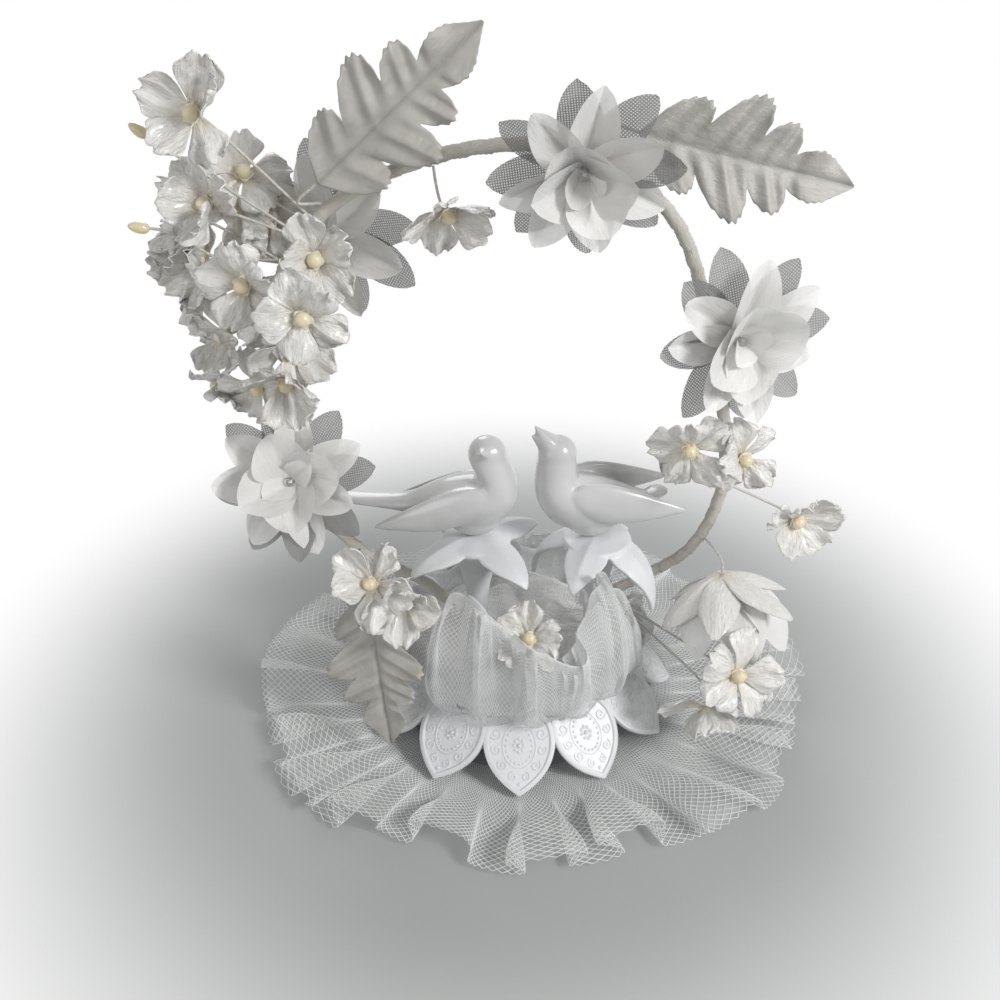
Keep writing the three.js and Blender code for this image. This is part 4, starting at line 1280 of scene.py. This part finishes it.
def satin_petal(seed):
    """A fluted petal: folded into a gutter, its fan-shaped end bent over and crumpled."""
    chance = np.random.default_rng(seed)
    petal, u, v = blank("satin_petal", BLOSSOM_RADIUS, FAN, 18, 16)
    points = points_of(petal) / MM
    phase, notch = chance.uniform(0, 6.28), chance.uniform(-0.3, 0.3)
    points[:, 0] *= 1 - 0.2 * v**2 * u - 0.07 * np.exp(-(((v - notch) / 0.16) ** 2)) * u**4
    points[:, 0] += (0.25 * np.sin(8 * v + phase) + 0.14 * np.sin(17 * v + 2 * phase)) * u**6
    move_points(petal, points * MM)
    area = keep_cut(petal)
    y = points[:, 1].copy()
    gutter = chance.uniform(0.25, 0.6) * chance.choice((1, 1, -1))
    bend = chance.uniform(-4.5, 1.5) * np.maximum(u - 0.35, 0) ** 1.6 * 2.4
    flute = 1.05 * u**1.6 * np.cos(7 * v + phase) + 0.45 * u**2 * np.cos(15 * v + 2 * phase)
    crush = 0.3 * np.sin(11 * u + 5 * v + phase) + 0.22 * np.sin(19 * u - 9 * v + 2 * phase)
    points[:, 1] = y * (1 - 0.1 * abs(gutter)) + chance.uniform(-1.2, 1.2) * u**2
    points[:, 2] = 5.5 * u**1.2 + bend + gutter * abs(y) * u + flute + crush * u
    move_points(petal, points * MM)
    modify(petal, "SOLIDIFY", thickness=CLOTH * MM, offset=0)
    return petal, area


satin_petals = [satin_petal(seed) for seed in range(8)]
print("kinds of satin petal:", len(satin_petals))

# %% Blossom
def blossom(name, seed):
    """Five petals round +Z; returns the blossom and the flat area of its cloth."""
    chance = np.random.default_rng(100 + seed)
    parts, area = [], 0
    for k in range(5):
        petal, cut = satin_petals[(3 * seed + 5 * k + k * k) % len(satin_petals)]
        size = chance.uniform(0.92, 1.03)
        place = turn_of("Z", 72 * k + chance.uniform(-9, 9)) @ turn_of("Y", chance.uniform(-36, 14))
        place = place @ turn_of("X", chance.uniform(-30, 30)) @ Matrix.Scale(size, 4)
        place = Matrix.Translation(mm(0, 0, 0.25 * (k % 2))) @ place
        parts.append(copy_of(petal, "petal", place))
        area += cut * size**2
    return joined(parts, name), area


# %% Pearls on wires
PEARL_RADIUS, DIMPLE_RADIUS, DIMPLE_DEPTH = 2.2, 0.5 * MM, 0.3 * MM
CUP_PROFILE = [
    (0.6, -2.6), (1.4, -2.4), (2.2, -1.6), (2.7, -0.5), (2.5, -0.3), (1.8, -0.9), (0.8, -1.4)
]


def pearl_ball():
    """A small dimple shows where it was drawn off the thread."""
    piece = ball("pearl", PEARL_RADIUS, 24, 14)
    points = points_of(piece)
    from_axis = np.hypot(points[:, 0], points[:, 1]) / DIMPLE_RADIUS
    points[:, 2] -= (points[:, 2] > 0) * DIMPLE_DEPTH * np.exp(-(from_axis**2))
    move_points(piece, points)
    return coat(piece, pearl)


def wax_cup():
    piece = turned("cup", CUP_PROFILE, 20)
    points = points_of(piece)
    lobes = 1 + 0.14 * np.cos(5 * np.arctan2(points[:, 1], points[:, 0])) * (points[:, 2] > -MM)
    move_points(piece, points * np.column_stack([lobes, lobes, 0 * lobes + 1]))
    return coat(piece, wax)


def pearl_pick(name, head, line):
    """A pearl in its wax cup on a wire."""
    parts = [pearl_ball(), wax_cup()]
    for part in parts:
        part.data.transform(Matrix.Translation(head) @ facing(Vector(line[0] - line[6])))
    return smooth(joined([*parts, stem(line)], name))


# %% Blossoms in place
BLOSSOM_CUT = 30 * MM
LARGER = {"right_low": 1.2, "left_low": 1.1}


def set_blossom(name, spec, seed, size=1):
    """A blossom and its pearl in place; returns both and the flat area of the satin."""
    place, hub, face, anchor = flower_at(*spec)
    piece, area = blossom("satin_" + name, seed)
    piece.data.transform(place @ Matrix.Scale(size, 4))
    coat(smooth(piece), satin)
    head = hub + face * (PEARL_RADIUS + 1) * MM
    centre = pearl_pick("centre_" + name, head, pick_line(head, hub, face, anchor))
    return piece, centre, area * size**2


for seed, (name, spec) in enumerate(BLOSSOMS.items()):
    size = LARGER.get(name, 1)
    side = BLOSSOM_CUT * size
    piece, centre, area = set_blossom(name, spec, seed, size)
    dress(piece, "satin", "blossom_" + name)
    dress(centre, "pearl", "pearl_" + name)
    print("blossom", name, round(area * 1e6), "square mm of satin")

# %% [markdown]
# ## Sheer flowers
# The large flowers have a ring of open gauze petals at the back, and in front of it rings of
# milky organza, each smaller and more upright than the one behind. Thin cloth like this is a
# single sheet of faces, so that light passes each petal once. The petals are long ovals that
# keep a crease down the middle.

# %% Sheer petals
OVAL = 7 * np.maximum(np.sin(math.pi * (0.06 + 0.94 * np.linspace(0, 1, 19) ** 1.3)), 0.01) ** 0.6


def oval_petal(seed, length, breadth, crease, roll):
    """A creased oval petal; roll curls its long edges up, and the tip leans by chance."""
    chance = np.random.default_rng(seed)
    petal, u, v = blank("oval_petal", length, [w * breadth for w in OVAL], 18, 14)
    points = points_of(petal) / MM
    points[:, 0] -= length * v**2 * 0.08 * u * (1 - u)
    move_points(petal, points * MM)
    area = keep_cut(petal)
    y = points[:, 1]
    fold = -crease * np.exp(-((y / 1.1) ** 2)) * np.sin(math.pi * np.clip(u * 1.05, 0, 1))
    upturn = roll * np.sin(math.pi * np.clip(0.15 + 0.85 * u, 0, 1)) ** 0.5
    rolled = upturn * (0.6 * abs(y) + y**2 / 14)
    tip = chance.uniform(-3, 2.5) * u**3 + 0.5 * np.sin(6 * u + chance.uniform(0, 6)) * abs(v)
    points[:, 1] = y + chance.uniform(-1.5, 1.5) * u**2
    points[:, 2] = fold + rolled + tip
    move_points(petal, points * MM)
    return petal, area


gauze_petals = [oval_petal(seed, 30, 0.98, crease=0.3, roll=0.12) for seed in range(4)]
organza_petals = [oval_petal(10 + seed, 28, 1.0, crease=1.0, roll=0.5) for seed in range(5)]
inner_petals = [oval_petal(20 + seed, 22, 1.42, crease=0.5, roll=0.45) for seed in range(4)]
core_petals = [oval_petal(30 + seed, 13, 0.75, crease=0.4, roll=0.5) for seed in range(3)]
print("kinds of gauze petal:", len(gauze_petals), "of organza petal:", len(organza_petals))

# %% Whorls
def whorl(seed, petals, count, tilt, spread, turn, lift):
    """A ring of petals round +Z, tilted up from flat; returns copies and the area of cloth."""
    chance = np.random.default_rng(200 + seed)
    parts, area = [], 0
    for k in range(count):
        petal, cut = petals[(k + seed) % len(petals)]
        size = chance.uniform(0.92, 1.0)
        place = turn_of("Z", turn + 360 * k / count + chance.uniform(-spread, spread))
        place = place @ turn_of("Y", -tilt + chance.uniform(-spread, spread))
        place = place @ turn_of("X", chance.uniform(-12, 12)) @ Matrix.Scale(size, 4)
        place = Matrix.Translation(mm(0, 0, lift)) @ place
        parts.append(copy_of(petal, "petal", place))
        area += cut * size**2
    return parts, area


def set_cloth(name, rings, place, finish, *nodes):
    """Joins rings of petals into one piece of cloth in its place; returns it and its area."""
    piece = joined([part for parts, _ in rings for part in parts], name)
    piece.data.transform(place)
    coat(smooth(piece), finish)
    dress(piece, "sheer", *nodes)
    return piece, sum(area for _, area in rings)


def cloth_flower(name, rings, place, finish, node_name):
    """The petals are punched from a square, in full centimetres, with 5% to spare."""
    piece, area = set_cloth(name, rings, place, finish, node_name)


# %% Dew drops
DEW_RADIUS = 1.6
FLAT_STACK, FULL_STACK = 1.0, 3.4


def dew_pick(name, hub, face, anchor, stack):
    """A clear drop that hangs a little out of round, with a smaller one beside it."""
    head = hub + face * (stack + DEW_RADIUS) * MM
    beside = Vector((1.6, 0.3, -0.4)) * DEW_RADIUS * MM
    drops = []
    for radius, spot in ((DEW_RADIUS, head), (0.5 * DEW_RADIUS, head + beside)):
        drop = ball("drop", radius, 20, 12)
        drop.data.transform(Matrix.Translation(spot) @ Matrix.Diagonal((0.95, 0.95, 1.1, 1)))
        drops.append(coat(drop, dew))
    piece = smooth(joined([*drops, stem(pick_line(head, hub, face, anchor))], "dew_" + name))
    dress(piece, "dew", "dew_pick_" + name)


# %% [markdown]
# Three flowers face the viewer and have three rings of organza. The fourth stands behind the
# spray with its gauze to the back, and shows one plain ring of organza to the front.

# %% Open flowers
SHEER = {
    "top": (0.556, (-3, -11, 0), (0.03, -0.93, -0.3), 10),
    "right": (0.69, (6, -11, 0), (0.25, -0.94, 0.1), 24),
    "left": (0.213, (4, -11, -2), (-0.1, -0.88, 0.42), 5),
    "back": (0.378, (6, 11, -5), (0.3, 0.92, 0), 15),
}
GAUZE_RING = dict(petals=gauze_petals, count=8, tilt=9, spread=6, turn=0, lift=0)
PLAIN_RING = dict(petals=organza_petals, count=7, tilt=7, spread=6, turn=20, lift=0.9)
FULL_RINGS = (
    dict(petals=organza_petals, count=7, tilt=16, spread=10, turn=22, lift=0.9),
    dict(petals=inner_petals, count=4, tilt=38, spread=16, turn=10, lift=2.2),
    dict(petals=core_petals, count=2, tilt=52, spread=18, turn=35, lift=2.6),
)
for seed, (name, spec) in enumerate(SHEER.items()):
    place, hub, face, anchor = flower_at(*spec)
    outer = [whorl(seed, **GAUZE_RING)]
    cloth_flower("gauze_" + name, outer, place, gauze, f"sheer_{name}_outer")
    if name == "back":
        stack = FLAT_STACK
        front = [whorl(seed, **PLAIN_RING)]
        forward = place @ turn_of("X", 180)
        cloth_flower("organza_" + name, front, forward, organza, "sheer_back_outer")
    else:
        stack = FULL_STACK
        front = [whorl(seed, **ring) for ring in FULL_RINGS]
        cloth_flower("organza_" + name, front, place, organza, f"sheer_{name}_inner")
    dew_pick(name, hub, face, anchor, stack)
print("open flowers:", len(SHEER))

# %% [markdown]
# One flower hangs face down. Its back ring is thicker satin: six pointed sepals that arch over
# and droop, with a bell of sheer petals below them.

# %% Sepals and bell petals
SEPAL = (2, 4, 5.9, 7.1, 7.5, 7.3, 6.6, 5.4, 3.7, 1)
BELL_LENGTH = 34


def sepal(seed):
    chance = np.random.default_rng(40 + seed)
    petal, u, _ = blank("sepal", 26, SEPAL, 16, 10)
    area = keep_cut(petal)
    points = points_of(petal) / MM
    y = points[:, 1]
    droop = 13 * u**1.6 + chance.uniform(-2, 2) * u**2
    points[:, 2] = droop + 0.05 * y**2 - 3.2 * np.exp(-(y**2)) * u * (1 - u)
    points[:, 1] += chance.uniform(-2, 2) * u**2
    move_points(petal, points * MM)
    modify(petal, "SOLIDIFY", thickness=CLOTH * MM, offset=0)
    return petal, area


def bell_petal(seed):
    chance = np.random.default_rng(50 + seed)
    petal, _, _ = blank("bell_petal", BELL_LENGTH, [w * 1.3 for w in OVAL], 16, 10)
    area = keep_cut(petal)
    points = points_of(petal) / MM
    run, y = np.clip(points[:, 0] / BELL_LENGTH, 0, 1), points[:, 1]
    points[:, 0] = 19 * np.sin(run * 1.5) ** 0.8 + chance.uniform(-1, 1.5) * run**3
    points[:, 2] = 27 * run**1.25 - 0.02 * y**2 + 0.5 * np.sin(5 * y / 8 + seed) * run
    move_points(petal, points * MM)
    return petal, area


sepals = [sepal(seed) for seed in range(3)]
bells = [bell_petal(seed) for seed in range(3)]
print("hanging flower:", len(sepals), "kinds of sepal,", len(bells), "kinds of petal")

# %% Hanging flower
place, hub, face, anchor = flower_at(0.855, (6, -14, -8), (0.1, -0.25, -0.97), 0)
ring = whorl(7, sepals, count=6, tilt=0, spread=7, turn=24, lift=0)
piece, area = set_cloth("satin_sepals", [ring], place, satin, "sheer_hanging_outer")
drop = ["dew_pick_hanging"]
bell = whorl(8, bells, count=7, tilt=0, spread=5, turn=30, lift=1.6)
cloth_flower("organza_bell", [bell], place, organza, "sheer_hanging_inner")
dew_pick("hanging", hub, face, anchor, FULL_STACK)
for petals in (gauze_petals, organza_petals, inner_petals, core_petals, sepals, bells):
    discard(*(petal for petal, _ in petals))
print("sepals:", round(area * 1e6), "square mm of satin")

# %% [markdown]
# ## Leaves and buds
# A leaf is die-cut from stiffened satin: lobes that lean towards the tip, small teeth along their
# edges, and pressed veins. The blank is a long grid whose rows are cut to the lobed outline; the
# veins and the puffed cloth between them are then pushed up out of it.

# %% Leaf outline
# a lobe's first and last share of the length and its half width; the spear's shares and half widths
LEAF_LOBES = ((0, 0.23, 13.5), (0.23, 0.47, 18), (0.47, 0.66, 13))
SPEAR = ((0.66, 0.71, 0.77, 0.84, 0.92, 1), (4.6, 6.8, 7.6, 6.4, 3.4, 0.3))


def lobe_half(share):
    """Half widths from the stalk to the tip: round lobes that shrink towards a long spear."""
    half = np.where(share > SPEAR[0][0], np.interp(share, *SPEAR), 0.8)
    for first, last, peak in LEAF_LOBES:
        t = np.clip((share - first) / (last - first), 0, 1)
        lobe = peak * (0.34 + 0.66 * np.sin(math.pi * t) ** 0.42)
        half = np.maximum(half, (t > 0) * (t < 1) * lobe)
    return half


# %% Leaf blade
LEAF_ROWS, LEAF_COLUMNS, LEAF_SAG = 128, 24, 4


def leaf_blade(name, length, seed):
    """Returns the blade and the flat area of its cloth."""
    chance = np.random.default_rng(60 + seed)
    blade, u, v = grid(name, LEAF_ROWS, LEAF_COLUMNS)
    half = lobe_half(u)
    wide = half * (1 + 0.03 * np.cos(52 * math.pi * u) * np.clip(half / 8, 0, 1))
    y = wide * v
    x = np.minimum(length * u + 0.62 * (1 - 0.6 * u) * abs(y), length)
    move_points(blade, np.column_stack([x, y, 0 * x]) * MM)
    area = keep_cut(blade)
    rib = -0.6 * np.exp(-((y / 0.9) ** 2))
    lobe_at = np.interp(u, (0, 0.15, 0.37, 0.57, 0.73, 1), (0, 0.5, 1.5, 2.5, 3.5, 4))
    ridge = 0.55 * np.exp(-(((lobe_at % 1 - 0.5) * 11) ** 2))
    vein = ridge * np.clip(abs(y) / 3, 0, 1) * (1 - 0.5 * abs(v))
    puff = 0.45 * np.sin(4 * math.pi * lobe_at + 1.5) * np.clip(abs(y) / 5, 0, 1)
    wave = np.sin(8 * math.pi * u + chance.uniform(0, 6)) * np.sign(v)
    ruffle = 1.3 * v**2 * wave * np.clip(wide / 10, 0, 1)
    z = 0.18 * abs(y) - LEAF_SAG * u**2 + rib + vein + puff + ruffle
    move_points(blade, np.column_stack([x, y, z]) * MM)
    modify(blade, "SOLIDIFY", thickness=CLOTH * MM, offset=0)
    return blade, area


# %% Leaf wire
WIRE_BELOW, STALK_RADIUS = 1.25, 0.5 * MM


def leaf_wire(name, share, root, place, normal, length):
    """Runs from the arch to the leaf's foot, and then along its underside."""
    foot = root - normal * 2 * WIRE_BELOW * MM
    stops = [tape_anchor(share, foot, 1.2 * TAPE_SKIN), foot]
    for t in (0.04, 0.3, 0.55, 0.8):
        stops.append(place @ mm(length * t, 0, -LEAF_SAG * t**2 - WIRE_BELOW))
    wire = tube("stalk_" + name, spline(stops, samples=48), STALK_RADIUS)
    return coat(smooth(wire), wrapped)


# %% Leaves in place
LEAF_STALK, LEAF_CUT = 9 * MM, 38 * MM
# share of the arch, length, the way it points, the way its face looks, and its foot's offset
LEAVES = {
    "left": (0.396, 64, (0.75, 0, 0.66), (0.1, -1, 0.1), (-8, -7, 3)),
    "right": (0.575, 68, (0.96, -0.05, -0.22), (-0.1, -1, 0.2), (-3, 7, 11)),
    "low": (0.125, 56, (0.1, -0.42, -0.9), (-0.3, -0.85, 0.4), (6, -26, 10)),
}
for seed, (name, (share, length, along, normal, lead)) in enumerate(LEAVES.items()):
    along = Vector(along).normalized()
    across = Vector(normal).cross(along).normalized()
    normal = along.cross(across)
    root = arch_point(share) + mm(*lead)
    place = Matrix((along, across, normal)).transposed().to_4x4()
    place.translation = root + along * LEAF_STALK
    blade, area = leaf_blade("satin_leaf_" + name, length, seed)
    blade.data.transform(place)
    coat(smooth(blade), leaf_satin)
    dress(blade, "satin", "leaf_" + name)
    under = [f"leaf_{name}_wire"]
    dress(leaf_wire(name, share, root, place, normal, length), "tape", *under)
    print("leaf", name, round(area * 1e6), "square mm")

# %% Buds
BUD_RADIUS, BUD_HALF = 1.7, 3
BUDS = {
    "upper": (0.372, (-41, -4, 31), (-0.75, -0.1, 0.6)),
    "lower": (0.334, (-31, -18, 25), (-0.95, -0.2, 0.2)),
}
for name, spec in BUDS.items():
    place, hub, face, anchor = flower_at(*spec)
    bud = ball("bud", BUD_RADIUS, 24, 16)
    points = points_of(bud)
    taper = 1 - 0.18 * (points[:, 2:] / (BUD_RADIUS * MM))
    move_points(bud, points * np.hstack([taper, taper, 0 * taper + BUD_HALF / BUD_RADIUS]))
    head = hub + face * BUD_HALF / 2 * MM
    bud.data.transform(Matrix.Translation(head) @ facing(face))
    wire = stem(pick_line(head, hub, face, anchor))
    piece = smooth(joined([coat(bud, pearl), wire], "bud_" + name))
    dress(piece, "pearl", "pearl_bud_" + name)
print("buds:", len(BUDS))

# %% [markdown]
# ## Filler blossoms
# A florist fills the gaps with a few more blossoms from the same box. They have no solid of
# their own, so they are pieces of the scene only, each on a wire to the arch like the others.

# %% Filler places
FILLERS = {
    "filler_upper": (0.37, (-23, -10, 13), (-0.3, -0.85, 0.4), 15),
    "filler_crown": (0.375, (-21, 9, 4), (-0.3, -0.8, 0.5), 35),
    "filler_wing": (0.35, (-27, 3, 2), (-0.8, -0.6, 0.1), 5),
    "filler_base": (0.29, (0, -12, -5), (-0.2, -0.95, -0.2), 20),
    "filler_left": (0.352, (-24, -2, 2), (-0.7, -0.65, 0.2), 40),
    "filler_mid": (0.335, (2, -14, -3), (0.1, -0.95, 0.1), 0),
    "filler_edge": (0.31, (-10, -10, 1), (-0.5, -0.8, 0.1), 12),
    "filler_hook": (0.29, (-14, -4, -7), (-0.6, -0.5, -0.5), 30),
    "filler_under": (0.305, (10, -14, 1), (0.2, -0.9, -0.3), 55),
    "filler_pair": (0.772, (2, -16, 1), (0.35, -0.9, 0), 50),
    "filler_low": (0.125, (19, -37, 4), (0.3, -0.85, 0.2), 0),
    "filler_stem": (0.368, (-10, 10, 4), (0.3, -0.85, 0.4), 36),
    "filler_drop": (0.945, (29, -52, -11), (-0.2, -0.6, -0.7), 10),
}
FIRST_FILLER_SEED = 20
print("filler places:", len(FILLERS))

# %% Filler blossoms
side = BLOSSOM_CUT
for seed, (name, spec) in enumerate(FILLERS.items(), FIRST_FILLER_SEED):
    piece, centre, area = set_blossom(name, spec, seed)
    for part, slot in ((piece, "satin"), (centre, "pearl")):
        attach(part, "topper")
discard(*(petal for petal, _ in satin_petals))
print("filler blossoms:", round(area * 1e6), "square mm of satin in the last one")

# %% [markdown]
# ## Size
# Cloth may stand a little proud of its solid, but the object keeps its dimensions. The box of the
# solids and the box of everything made here are written down side by side to be compared.

# %% Finish
low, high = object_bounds()
